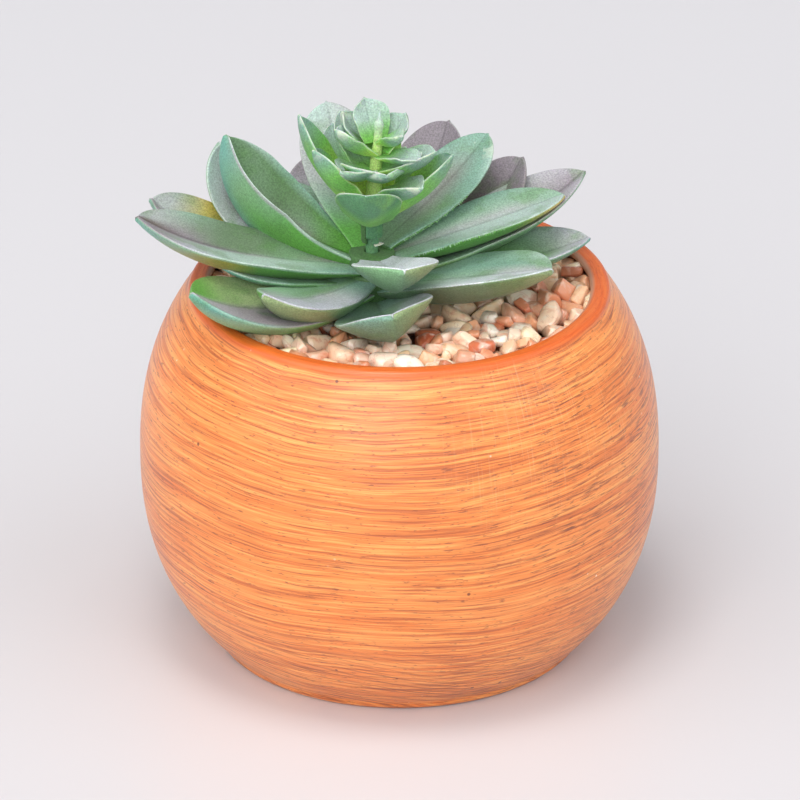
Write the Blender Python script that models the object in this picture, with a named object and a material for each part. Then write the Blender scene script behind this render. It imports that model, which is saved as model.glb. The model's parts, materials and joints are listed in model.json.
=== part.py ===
"""An artificial succulent in a glazed ball pot, with washed gravel round its foot.

The plant is moulded plastic. Two whorls of boat-shaped leaves are threaded on a rod that stands in a
plug of hard foam, and a head of small leaves is pushed on the rod's tip. The gravel hides the foam.

Lengths are millimetres here and become metres where a mesh is made. Angles are degrees. The origin is
the middle of the pot's foot, +Z is up and -Y is the front. A heading of 0 points to +X and 270 to the
front. Each piece keeps a gap of GAP to the piece that it touches.
"""

import math
import random
from dataclasses import dataclass

import bmesh
import bpy
from mathutils import Euler, Matrix, Vector

MM = 0.001
GAP = 0.3
FILL_GAP = 0.5

# Pot: a ball with an open mouth, its widest ring BELLY_HEIGHT above the foot.
POT_RADIUS = 62.5
POT_HEIGHT = 91.6
BELLY_HEIGHT = 47.8
BELLY_DOWN = 63.3
BELLY_UP = 66.5
BELLY_POWER = 2.3
WALL = 4.8
FLOOR = 6.0
LIP_ROUND = 1.6
FOOT_ROUND = 1.8
POT_SIDES = 48
POT_RINGS = 10
LIP_STEPS = 3
INNER_STEPS = 7

# Foam and gravel: the foam's top, the gravel bed's top and the stones on it.
FOAM_TOP = 81.0
BED_TOP = 85.4
STONE_COUNT = 115
STONE_REACH = 43.0
STONE_TOP = 88.7
STONE_SHIFT = 1.3
STONE_SEED = 11
STONE_LONG = (3.0, 4.6)
STONE_WIDE = (2.5, 3.6)
STONE_THICK = (1.9, 2.6)
STONE_CUBE = 1.5
STONE_ROUGH = (0.7, 1.1)
STONE_TILT = 0.5
STONE_PROUD = (0.4, 2.0)
STONE_SUNK = 0.8
GOLDEN_TURN = math.pi * (3.0 - math.sqrt(5.0))

# Rod and hubs: the plant's axis stands a little left of the pot's.
PLANT_X = -6.5
PLANT_Y = -5.0
ROD_RADIUS = 1.55
ROD_FOOT = 52.0
ROD_TIP = 109.0
BORE_RADIUS = ROD_RADIUS + GAP
HUB_RADIUS = 5.6
LOWER_HUB = (89.7, 97.5)
UPPER_HUB = (97.8, 102.2)
LOWER_ROOT = 93.3
UPPER_ROOT = 101.9
ROUND_SIDES = 20
DRILL_CLEAR = 5.0

# Leaves: the columns go across the blade from edge to edge, and the stations from root to tip.
EDGE = 0.7
BLADE_COLUMNS = (-1.0, -0.55, 0.0, 0.55, 1.0)
SMALL_COLUMNS = (-1.0, 0.0, 1.0)
BLADE_STATIONS = 8
SMALL_STATIONS = 5
ROOT_RADIUS = 3.0
NECK = 0.40
NECK_POWER = 1.3
WIDEST = 0.60
TIP_POWER = 2.5
TIP_ROUNDNESS = 0.64
TIP_HALF_WIDTH = 0.45
ROOT_BODY = 0.45
FULL_BODY_AT = 0.5
TIP_THINNING = 0.85
THINNING_POWER = 4
KEEL_POWER = 1.7
ROOT_FOLD = 0.35
FOLD_RATE = 1.6
ROLL_RATE = 3.0

# Head: a sleeve over the rod's tip, a stalk that leans a little, and its tiers of leaves.
SLEEVE_RADIUS = 2.65
SLEEVE_FOOT = 104.4
SLEEVE_TOP = 112.0
STALK_FOOT = 110.0
STALK_TOP = 135.0
STALK_RADIUS = 1.7
STALK_LEAN = 1.7
STALK_RINGS = ((110.0, 1.4), (131.0, 0.9), (133.5, 0.7))
BUD_TIP = 138.5
HEAD_ROOT = 110.0

# Finishes: linear colour and roughness, and the angle past which an edge stays sharp.
CLAY = ("glazed_clay", (0.72, 0.19, 0.035), 0.4)
FOAM = ("hard_foam", (0.75, 0.75, 0.70), 0.9)
GRAVEL = ("washed_gravel", (0.62, 0.42, 0.30), 0.5)
ROD_PLASTIC = ("rod_plastic", (0.10, 0.24, 0.09), 0.5)
LOWER_PLASTIC = ("lower_leaf_plastic", (0.14, 0.24, 0.13), 0.6)
UPPER_PLASTIC = ("upper_leaf_plastic", (0.17, 0.28, 0.19), 0.6)
HEAD_PLASTIC = ("head_leaf_plastic", (0.25, 0.50, 0.20), 0.55)
ROUND_SHARP = 50.0
LEAF_SHARP = 40.0


@dataclass(frozen=True)
class Leaf:
    """One boat-shaped leaf, given by its heading, its length along the midrib and its full width.

    rise and lift are the midrib's slope at the root and at the tip, roll turns the blade about its
    midrib, sweep bends it to the left in plan, fold raises both halves from the midrib, body is its
    thickness at the midrib over the edge's, and root is the midrib's height above the whorl's own.
    """

    heading: float
    length: float
    width: float
    rise: float
    lift: float
    roll: float = 0.0
    sweep: float = 0.0
    fold: float = 10.0
    body: float = 4.4
    root: float = 0.0


LOWER_WHORL = (
    Leaf(218, 49, 27, 0, 42, roll=10, sweep=-6, fold=14),
    Leaf(277, 36, 25, 0, 42, roll=14, fold=12),
    Leaf(342, 43, 26, 6, 28, roll=-8, fold=20),
    Leaf(12, 50, 24, 2, 22, roll=-4, fold=14, body=3.6, root=1),
    Leaf(44, 50, 22, 2, 60),
    Leaf(76, 48, 22, 0, 50, body=3.2, root=1),
    Leaf(108, 48, 22, 0, 50, body=3.2, root=1),
    Leaf(136, 48, 22, 0, 46, body=3.2, root=1),
    Leaf(167, 54, 23, 2, 52),
    Leaf(236, 36, 23, -1, 26, roll=8, fold=12, root=3.5),
    Leaf(200, 30, 15, 0, 12, root=1),
    Leaf(29, 58, 20, 4, 44, roll=2, body=3.6, root=2),
    Leaf(64, 50, 21, 6, 81, root=2),
    Leaf(94, 42, 22, 0, 50, root=2),
    Leaf(124, 42, 22, 0, 40, root=2),
    Leaf(144, 53, 21, 0, 86, root=2),
)

UPPER_WHORL = (
    Leaf(288, 27, 21.5, 10, 40),
    Leaf(18, 46, 24, 11, 9, roll=4, fold=6, body=4.0),
    Leaf(49, 41, 19, 17, 38, roll=8),
    Leaf(107, 41, 20, 23, 54),
    Leaf(157, 43, 20.5, 8, 82, roll=2, sweep=-10, fold=46, body=7.5, root=0.7),
    Leaf(186, 54, 25, 1, 34, roll=13, fold=12),
)

HEAD_LEAVES = (
    Leaf(266, 24, 17.5, 24, 68, fold=26, body=1.5, root=0.5),
    Leaf(357, 25, 13, 30, 68, fold=26, body=1.5, root=1),
    Leaf(176, 31, 13, 46, 82, fold=26, body=1.5, root=1),
    Leaf(62, 20, 14, 28, 52, fold=26, body=1.5, root=1),
    Leaf(118, 26, 14, 28, 62, fold=26, body=1.5, root=1),
    Leaf(198, 21, 12, 36, 72, fold=26, body=1.5, root=5),
    Leaf(322, 15, 12, 16, 36, fold=26, body=1.5, root=5),
    Leaf(85, 22, 13, 36, 64, fold=26, body=1.5, root=5),
    Leaf(226, 11.5, 12, 4, 36, fold=22, body=1.5, root=13.5),
    Leaf(349, 15, 12, 10, 48, fold=22, body=1.5, root=13.5),
    Leaf(130, 18, 12, 40, 64, fold=26, body=1.5, root=11),
    Leaf(200, 12, 10, 24, 64, fold=26, body=1.5, root=18),
    Leaf(316, 11, 9, 10, 30, fold=22, body=1.5, root=17),
    Leaf(40, 11, 11, 30, 70, fold=26, body=1.5, root=18),
    Leaf(150, 12, 10, 30, 70, fold=26, body=1.5, root=18),
    Leaf(325, 6, 6, 16, 40, fold=22, body=1.5, root=22),
    Leaf(119, 11, 10.5, 50, 78, fold=26, body=1.5, root=20),
)


def clear_scene():
    """Remove whatever the file already holds."""
    for item in list(bpy.data.objects):
        bpy.data.objects.remove(item)


def finish(name, colour, roughness):
    """Return a plain coat of one linear colour and roughness."""
    material = bpy.data.materials.new(name)
    material.use_nodes = True
    shader = material.node_tree.nodes["Principled BSDF"]
    shader.inputs["Base Color"].default_value = (*colour, 1.0)
    shader.inputs["Roughness"].default_value = roughness
    shader.inputs["Metallic"].default_value = 0.0
    return material


def to_object(name, bm, material=None):
    """Turn a mesh in millimetres into an object in metres, with its faces pointing out."""
    bmesh.ops.remove_doubles(bm, verts=bm.verts, dist=1e-4)
    bmesh.ops.triangulate(bm, faces=bm.faces)
    bmesh.ops.recalc_face_normals(bm, faces=bm.faces)
    bmesh.ops.scale(bm, vec=(MM, MM, MM), verts=bm.verts)
    mesh = bpy.data.meshes.new(name)
    bm.to_mesh(mesh)
    bm.free()
    item = bpy.data.objects.new(name, mesh)
    if material:
        mesh.materials.append(material)
    bpy.context.scene.collection.objects.link(item)
    return item


def shade(item, angle=LEAF_SHARP):
    """Shade a round piece smooth between its sharp edges."""
    item.data.shade_smooth()
    item.data.set_sharp_from_angle(angle=math.radians(angle))


def fuse(body, pieces):
    """Join the pieces to the body in one union, and remove them."""
    group = bpy.data.collections.new("pieces_to_fuse")
    bpy.context.scene.collection.children.link(group)
    for piece in pieces:
        bpy.context.scene.collection.objects.unlink(piece)
        group.objects.link(piece)
    union = body.modifiers.new("fuse", "BOOLEAN")
    union.operation = "UNION"
    union.operand_type = "COLLECTION"
    union.collection = group
    union.solver = "EXACT"
    apply_modifiers(body)
    for piece in pieces:
        bpy.data.objects.remove(piece)
    bpy.data.collections.remove(group)


def apply_modifiers(item):
    """Replace an object's mesh by its evaluated one."""
    bpy.context.view_layer.update()
    graph = bpy.context.evaluated_depsgraph_get()
    mesh = bpy.data.meshes.new_from_object(item.evaluated_get(graph))
    item.modifiers.clear()
    item.data = mesh


def lathe(profile, sides, centre=(0.0, 0.0), ring=False):
    """Turn (radius, height) points about an upright axis; a ring's last point joins its first."""
    bm = bmesh.new()
    loops = [turn_point(bm, radius, height, sides, centre) for radius, height in profile]
    pairs = list(zip(loops, loops[1:]))
    if ring:
        pairs.append((loops[-1], loops[0]))
    for low, high in pairs:
        bridge(bm, low, high, sides)
    return bm


def turn_point(bm, radius, height, sides, centre):
    """Return the ring of vertices that one profile point sweeps, or its single pole."""
    if radius == 0.0:
        return [bm.verts.new((centre[0], centre[1], height))]
    angles = [2 * math.pi * step / sides for step in range(sides)]
    return [
        bm.verts.new((centre[0] + radius * math.cos(a), centre[1] + radius * math.sin(a), height))
        for a in angles
    ]


def bridge(bm, low, high, sides):
    """Join two rings, or a ring and a pole, with faces."""
    for step in range(sides):
        following = (step + 1) % sides
        corners = [low[step % len(low)], low[following % len(low)]]
        corners += [high[following % len(high)], high[step % len(high)]]
        face = list(dict.fromkeys(corners))
        if len(face) > 2:
            bm.faces.new(face)


def pot_outer(height):
    """Return the pot's outer radius at a height."""
    reach = BELLY_DOWN if height < BELLY_HEIGHT else BELLY_UP
    share = abs(height - BELLY_HEIGHT) / reach
    return POT_RADIUS * math.sqrt(1.0 - share**BELLY_POWER)


def heights(low, high, steps):
    """Return evenly spaced heights from low to high."""
    return [low + (high - low) * step / steps for step in range(steps + 1)]


def inner_levels(low, high):
    """Return the heights between low and high at which the inside's outline bends, and both ends."""
    levels = heights(FLOOR, POT_HEIGHT - LIP_ROUND, INNER_STEPS)
    return [low] + [level for level in levels if low < level < high] + [high]


def pot_inner(height):
    """Return the radius of the pot's inside at a height, straight between the levels where it bends."""
    levels = heights(FLOOR, POT_HEIGHT - LIP_ROUND, INNER_STEPS)
    above = next((k for k, level in enumerate(levels) if k and level >= height), INNER_STEPS)
    low, high = levels[above - 1], levels[above]
    share = (height - low) / (high - low)
    return (1 - share) * pot_outer(low) + share * pot_outer(high) - WALL


def arc(centre, radius, start, end, steps):
    """Return the points of an arc in the profile's plane."""
    angles = heights(math.radians(start), math.radians(end), steps)
    return [(centre[0] + radius * math.cos(a), centre[1] + radius * math.sin(a)) for a in angles]


def make_pot():
    """Turn the pot: foot, outer wall, rounded lip, inner wall and floor."""
    shoulder = POT_HEIGHT - LIP_ROUND
    foot = pot_outer(FOOT_ROUND)
    outer = [(pot_outer(z), z) for z in heights(FOOT_ROUND, shoulder, POT_RINGS)]
    lip_out = (outer[-1][0] - LIP_ROUND, shoulder)
    lip_in = (pot_inner(shoulder) + LIP_ROUND, shoulder)
    inner = [(pot_inner(z), z) for z in reversed(inner_levels(FLOOR, shoulder))]
    profile = [(0.0, 0.0)]
    profile += arc((foot - FOOT_ROUND, FOOT_ROUND), FOOT_ROUND, -90, -30, 2)
    profile += outer
    profile += arc(lip_out, LIP_ROUND, 20, 90, LIP_STEPS)
    profile += arc(lip_in, LIP_ROUND, 90, 160, LIP_STEPS)
    profile += inner
    profile.append((0.0, FLOOR))
    pot = to_object("pot", lathe(profile, POT_SIDES), finish(*CLAY))
    shade(pot, ROUND_SHARP)
    return pot


def make_foam():
    """Make the foam plug, which fills the pot's belly and has a blind bore for the rod."""
    low = FLOOR + GAP
    wall = [(pot_inner(z) - FILL_GAP, z) for z in inner_levels(low, FOAM_TOP)]
    profile = [(0.0, low)] + wall + [(0.0, FOAM_TOP)]
    foam = to_object("foam", lathe(profile, POT_SIDES), finish(*FOAM))
    drill(foam, ROD_FOOT - GAP, FOAM_TOP + DRILL_CLEAR)
    shade(foam, ROUND_SHARP)
    return foam


def drill(item, low, high):
    """Cut the rod's bore into a piece, from one height to another."""
    profile = [(0.0, low), (BORE_RADIUS, low), (BORE_RADIUS, high), (0.0, high)]
    cutter = to_object("bore", lathe(profile, ROUND_SIDES, (PLANT_X, PLANT_Y)))
    cut = item.modifiers.new("bore", "BOOLEAN")
    cut.operation = "DIFFERENCE"
    cut.object = cutter
    cut.solver = "EXACT"
    apply_modifiers(item)
    bpy.data.objects.remove(cutter)


def stone_place(draw, number, furthest):
    """Return where a stone lies: on a sunflower spiral, moved a little, and clear of the pot's wall."""
    spread = STONE_REACH * math.sqrt((number + 0.5) / STONE_COUNT)
    heading = number * GOLDEN_TURN
    place = Vector((spread * math.cos(heading), spread * math.sin(heading), 0.0))
    place += Vector((draw.uniform(-1, 1), draw.uniform(-1, 1), 0.0)) * STONE_SHIFT
    limit = pot_inner(STONE_TOP) - FILL_GAP - furthest
    return place * min(1.0, limit / place.length)


def make_stone(draw, number):
    """Make one rough stone, stretched, turned and sunk into the bed's top."""
    half = Vector((draw.uniform(*STONE_LONG), draw.uniform(*STONE_WIDE), draw.uniform(*STONE_THICK)))
    tilt = [draw.uniform(-STONE_TILT, STONE_TILT) for _ in range(2)]
    turn = Euler((*tilt, draw.uniform(0, math.tau))).to_matrix()
    bm = bmesh.new()
    bmesh.ops.create_cube(bm, size=STONE_CUBE)
    for vertex in bm.verts:
        rough = Vector([draw.uniform(*STONE_ROUGH) for _ in range(3)])
        vertex.co = turn @ (vertex.co * half * rough)
    place = stone_place(draw, number, max(vertex.co.xy.length for vertex in bm.verts))
    levels = [vertex.co.z for vertex in bm.verts]
    sunk = BED_TOP - STONE_SUNK - min(levels)
    place.z = min(BED_TOP + draw.uniform(*STONE_PROUD), STONE_TOP - max(levels), sunk)
    bmesh.ops.translate(bm, vec=place, verts=bm.verts)
    return to_object("stone", bm)


def make_gravel():
    """Make the gravel: a bed on the foam with the stones that show sunk into its top."""
    draw = random.Random(STONE_SEED)
    low = FOAM_TOP + GAP
    rim = [(pot_inner(z) - FILL_GAP, z) for z in inner_levels(low, BED_TOP)]
    profile = [(0.0, low)] + rim + [(0.0, BED_TOP)]
    gravel = to_object("gravel", lathe(profile, POT_SIDES), finish(*GRAVEL))
    fuse(gravel, [make_stone(draw, number) for number in range(STONE_COUNT)])
    drill(gravel, low - DRILL_CLEAR, STONE_TOP + DRILL_CLEAR)
    return gravel


def make_stem():
    """Make the rod that the whorls and the head are threaded on."""
    profile = [(0.0, ROD_FOOT), (ROD_RADIUS, ROD_FOOT), (ROD_RADIUS, ROD_TIP), (0.0, ROD_TIP)]
    bm = lathe(profile, ROUND_SIDES, (PLANT_X, PLANT_Y))
    stem = to_object("stem", bm, finish(*ROD_PLASTIC))
    shade(stem)
    return stem


def half_width(leaf, share):
    """Return a blade's half width at a share of its length: a neck, a belly and a blunt point."""
    full = leaf.width / 2
    if share < WIDEST:
        swell = math.sin(math.pi / 2 * share / WIDEST) ** NECK_POWER
        return full * (NECK + (1 - NECK) * swell)
    beyond = (share - WIDEST) / (1 - WIDEST)
    return max(full * (1 - beyond**TIP_POWER) ** TIP_ROUNDNESS, TIP_HALF_WIDTH)


def fullness(share):
    """Return how much of a leaf's full thickness it has at a share of its length."""
    swell = math.sin(math.pi / 2 * min(1.0, share / FULL_BODY_AT))
    return (ROOT_BODY + (1 - ROOT_BODY) * swell) * (1 - TIP_THINNING * share**THINNING_POWER)


def midrib(leaf, stations):
    """Return (share, point, forward, left, up) along the midrib, before the leaf is put in place."""
    frames = []
    point = Vector((0.0, 0.0, 0.0))
    before = 0.0
    for step in range(stations + 1):
        share = math.sin(math.pi / 2 * step / stations)
        middle = (share + before) / 2
        point = point + direction(leaf, middle) * leaf.length * (share - before)
        forward = direction(leaf, share)
        left = Vector((-math.sin(turned(leaf, share)), math.cos(turned(leaf, share)), 0.0))
        roll = Matrix.Rotation(math.radians(leaf.roll) * min(1.0, share * ROLL_RATE), 3, forward)
        left = roll @ left
        frames.append((share, point, forward, left, forward.cross(left)))
        before = share
    return frames


def turned(leaf, share):
    """Return the midrib's heading in radians at a share of its length."""
    return math.radians(leaf.heading + leaf.sweep * share)


def direction(leaf, share):
    """Return the midrib's direction at a share of its length."""
    slope = math.radians(leaf.rise + (leaf.lift - leaf.rise) * share**2)
    heading = turned(leaf, share)
    return Vector((math.cos(heading) * math.cos(slope), math.sin(heading) * math.cos(slope), math.sin(slope)))


def blade(leaf, columns, stations, root):
    """Make one leaf: rings of points, upper face and keel, from its root in the hub to its tip."""
    bm = bmesh.new()
    heading = math.radians(leaf.heading)
    outward = Vector((math.cos(heading), math.sin(heading), 0.0))
    rings = []
    for share, point, _, left, up in midrib(leaf, stations):
        fold = math.radians(leaf.fold) * min(1.0, ROOT_FOLD + FOLD_RATE * share)
        across = left * (half_width(leaf, share) * math.cos(fold))
        raised = up * (half_width(leaf, share) * math.sin(fold))
        start = root + outward * ROOT_RADIUS + point
        top = [start + across * u + raised * abs(u) for u in columns]
        body = leaf.body * fullness(share)
        depths = [EDGE + body * (1 - abs(u) ** KEEL_POWER) for u in columns]
        under = [spot - up * depth for spot, depth in zip(top, depths)]
        rings.append([bm.verts.new(spot) for spot in top + under[::-1]])
    skin(bm, rings, len(columns))
    return to_object("leaf", bm)


def skin(bm, rings, columns):
    """Cover the rings with triangles, split alike on the upper face and on the keel, and cap them."""
    around = 2 * columns
    for near, far in zip(rings, rings[1:]):
        for step in range(around):
            after = (step + 1) % around
            a, b, c, d = near[step], near[after], far[after], far[step]
            if step < columns:
                bm.faces.new((a, b, c))
                bm.faces.new((a, c, d))
            else:
                bm.faces.new((a, b, d))
                bm.faces.new((b, c, d))
    for ring in (rings[0], rings[-1]):
        for step in range(columns - 1):
            mirror = around - 1 - step
            bm.faces.new((ring[step], ring[step + 1], ring[mirror - 1], ring[mirror]))


def make_whorl(name, leaves, hub_span, level, coat):
    """Make one whorl: a hub with the rod's bore and its leaves, with their roots in the hub."""
    low, high = hub_span
    centre = (PLANT_X, PLANT_Y)
    profile = [(BORE_RADIUS, low), (HUB_RADIUS, low), (HUB_RADIUS, high), (BORE_RADIUS, high)]
    hub = to_object(name, lathe(profile, ROUND_SIDES, centre, ring=True), finish(*coat))
    pieces = []
    for leaf in leaves:
        root = Vector((*centre, level + leaf.root))
        pieces.append(blade(leaf, BLADE_COLUMNS, BLADE_STATIONS, root))
    fuse(hub, pieces)
    shade(hub)
    return hub


def stalk_point(height):
    """Return the middle of the head's stalk at a height."""
    share = max(0.0, (height - STALK_FOOT) / (STALK_TOP - STALK_FOOT))
    return Vector((PLANT_X + STALK_LEAN * share, PLANT_Y, height))


def make_head():
    """Make the head: a sleeve for the rod's tip, a leaning stalk with a bud, and the tiers of leaves."""
    centre = (PLANT_X, PLANT_Y)
    bore_top = ROD_TIP + GAP
    sleeve = [(BORE_RADIUS, SLEEVE_FOOT), (SLEEVE_RADIUS, SLEEVE_FOOT), (SLEEVE_RADIUS, SLEEVE_TOP)]
    sleeve += [(0.0, SLEEVE_TOP), (0.0, bore_top), (BORE_RADIUS, bore_top)]
    head = to_object("head", lathe(sleeve, ROUND_SIDES, centre, ring=True), finish(*HEAD_PLASTIC))
    pieces = [make_stalk()]
    for leaf in HEAD_LEAVES:
        root = stalk_point(HEAD_ROOT + leaf.root) - outward_step(leaf)
        pieces.append(blade(leaf, SMALL_COLUMNS, SMALL_STATIONS, root))
    fuse(head, pieces)
    shade(head)
    return head


def outward_step(leaf):
    """Return the step that draws a head leaf's root back into the slim stalk."""
    heading = math.radians(leaf.heading)
    return Vector((math.cos(heading), math.sin(heading), 0.0)) * (ROOT_RADIUS - STALK_RADIUS / 2)


def make_stalk():
    """Make the head's stalk, which leans to the right and ends in a pointed bud."""
    bm = bmesh.new()
    sides = ROUND_SIDES // 2
    loops = [[bm.verts.new(stalk_point(STALK_FOOT))]]
    for height, share in STALK_RINGS:
        middle = stalk_point(height)
        loops.append(turn_point(bm, STALK_RADIUS * share, height, sides, (middle.x, middle.y)))
    loops.append([bm.verts.new(stalk_point(BUD_TIP))])
    for low, high in zip(loops, loops[1:]):
        bridge(bm, low, high, sides)
    return to_object("stalk", bm)


def main():
    """Build the pot, what fills it, the rod, the whorls and the head."""
    clear_scene()
    make_pot()
    make_foam()
    make_gravel()
    make_stem()
    make_whorl("whorl_lower", LOWER_WHORL, LOWER_HUB, LOWER_ROOT, LOWER_PLASTIC)
    make_whorl("whorl_upper", UPPER_WHORL, UPPER_HUB, UPPER_ROOT, UPPER_PLASTIC)
    make_head()


if __name__ == "__main__":
    main()
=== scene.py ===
"""Looks of the artificial succulent in its glazed ball pot.

Lengths are millimetres and become metres where a mesh is made; angles are degrees. The origin is the
middle of the pot's foot, +Z is up, -Y is the front, and a heading of 0 points to +X.
"""

import json
import logging
import math
import random
from collections.abc import Sequence
from dataclasses import dataclass
from enum import Enum
from typing import NamedTuple

import bmesh
import bpy
import numpy as np
from mathutils import Euler, Matrix, Vector, noise

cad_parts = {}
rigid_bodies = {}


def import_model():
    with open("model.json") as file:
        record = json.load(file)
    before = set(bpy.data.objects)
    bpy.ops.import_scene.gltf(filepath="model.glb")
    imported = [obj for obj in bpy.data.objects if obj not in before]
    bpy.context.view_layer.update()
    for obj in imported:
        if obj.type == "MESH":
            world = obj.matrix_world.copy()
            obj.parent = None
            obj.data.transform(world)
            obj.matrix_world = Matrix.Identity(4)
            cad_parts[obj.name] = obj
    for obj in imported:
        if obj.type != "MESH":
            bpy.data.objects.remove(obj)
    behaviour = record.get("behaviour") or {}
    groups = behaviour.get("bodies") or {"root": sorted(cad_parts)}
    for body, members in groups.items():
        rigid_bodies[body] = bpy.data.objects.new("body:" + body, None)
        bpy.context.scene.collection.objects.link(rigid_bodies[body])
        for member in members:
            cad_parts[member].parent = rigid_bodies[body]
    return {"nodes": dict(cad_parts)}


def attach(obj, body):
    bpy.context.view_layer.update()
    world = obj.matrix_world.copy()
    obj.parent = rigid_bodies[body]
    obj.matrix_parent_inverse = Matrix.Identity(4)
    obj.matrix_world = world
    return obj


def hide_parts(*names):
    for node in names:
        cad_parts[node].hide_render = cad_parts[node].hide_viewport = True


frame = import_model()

LOG = logging.getLogger("succulent")
MM = 0.001
BODY = "root"
# Where the rod stands in plan, and the bore of what is threaded on it.
PLANT_AXIS = (-6.5, -5.0)
ROD_BORE = 1.85
# A leaf that points to the front or the back, with less than this across, takes its left rim as its near rim,
# where the pale rows of painted sheen go.
STRAIGHT_ON = 0.35
# The longest step round a swept part, in degrees.
SWEEP_STEP = 8.0

Profile = Sequence[tuple[float, float]]
Plain = tuple[list, list]
Dressed = tuple[list, list, dict[str, list]]


class Slot(str, Enum):
    """The record's material slots."""

    GLAZE = "glazed_clay"
    FOAM = "hard_foam"
    STONE = "washed_gravel"
    ROD = "rod_plastic"
    LOWER = "lower_leaf_plastic"
    UPPER = "upper_leaf_plastic"
    HEAD = "head_leaf_plastic"


def linear(code: str) -> tuple[float, float, float, float]:
    """Turn an sRGB hex colour into linear light.

    Args:
        code: Six hex digits, such as "F59A55".

    Returns:
        Red, green, blue and an alpha of 1.
    """
    parts = [int(code[at : at + 2], 16) / 255 for at in (0, 2, 4)]
    return (*[p / 12.92 if p <= 0.04045 else ((p + 0.055) / 1.055) ** 2.4 for p in parts], 1.0)


class Tint(Enum):
    """What shows on the leaves: the greens of the plastic, the lacquers sprayed over them, and the pale tints
    of painted sheen.
    """

    DEEP = "4F7345"
    FERN = "71916F"
    LEAF = "5F9A42"
    SAGE = "8FAE98"
    HERB = "8C9F70"
    SEA = "7CA190"
    REED = "6C8166"
    ASH = "878C84"
    SMOKE = "7F757C"
    MAUVE = "8E868D"
    LAVENDER = "B3B5BF"
    FROST = "AFC5BC"
    PEARL = "D0D6DC"
    LILAC = "ACA9B0"
    SILVER = "A9AFAD"
    DUSK = "6A5F5B"
    OLIVE = "C4AE50"
    MOSS = "95B66E"
    GRASS = "68A950"
    JADE = "84B284"
    TEAL = "6CA797"
    PINE = "568660"
    LIME = "B2D862"
    SPRING = "7CBB5C"
    PITH = "C6E08A"
    CREAM = "DDE3CC"


# Short names for the tables below.
T = Tint


@dataclass(frozen=True)
class SprayAndSheen:
    """A leaf's colours, in rows from its root to its tip.

    Each row stands at a place across the leaf, from -1 at the far rim to 1 at the near rim, with the crease
    or the keel at 0. The pale rows towards the near rim are painted sheen, the grazing reflection on that
    half; the rest is the plastic and its lacquer.
    """

    top: dict[float, tuple[Tint, ...]]
    under: dict[float, tuple[Tint, ...]]
    first: float = 0.15
    last: float = 0.92
    flecked: float = 0.75

    def across(self, share: float, places: np.ndarray, top: bool) -> np.ndarray:
        """Blend the rows at one share of the length.

        Args:
            share: Share of the length.
            places: Places across the leaf.
            top: Whether the places are on the upper face.

        Returns:
            A linear colour for each place.
        """
        rows = self.top if top else self.under
        bands = []
        for row in rows.values():
            shades = np.array([linear(tint.value)[:3] for tint in row])
            stops = np.linspace(self.first, self.last, len(row))
            bands.append([np.interp(share, stops, shades[:, part]) for part in range(3)])
        bands = np.array(bands)
        return np.stack([np.interp(places, list(rows), bands[:, part]) for part in range(3)], axis=1)


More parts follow.
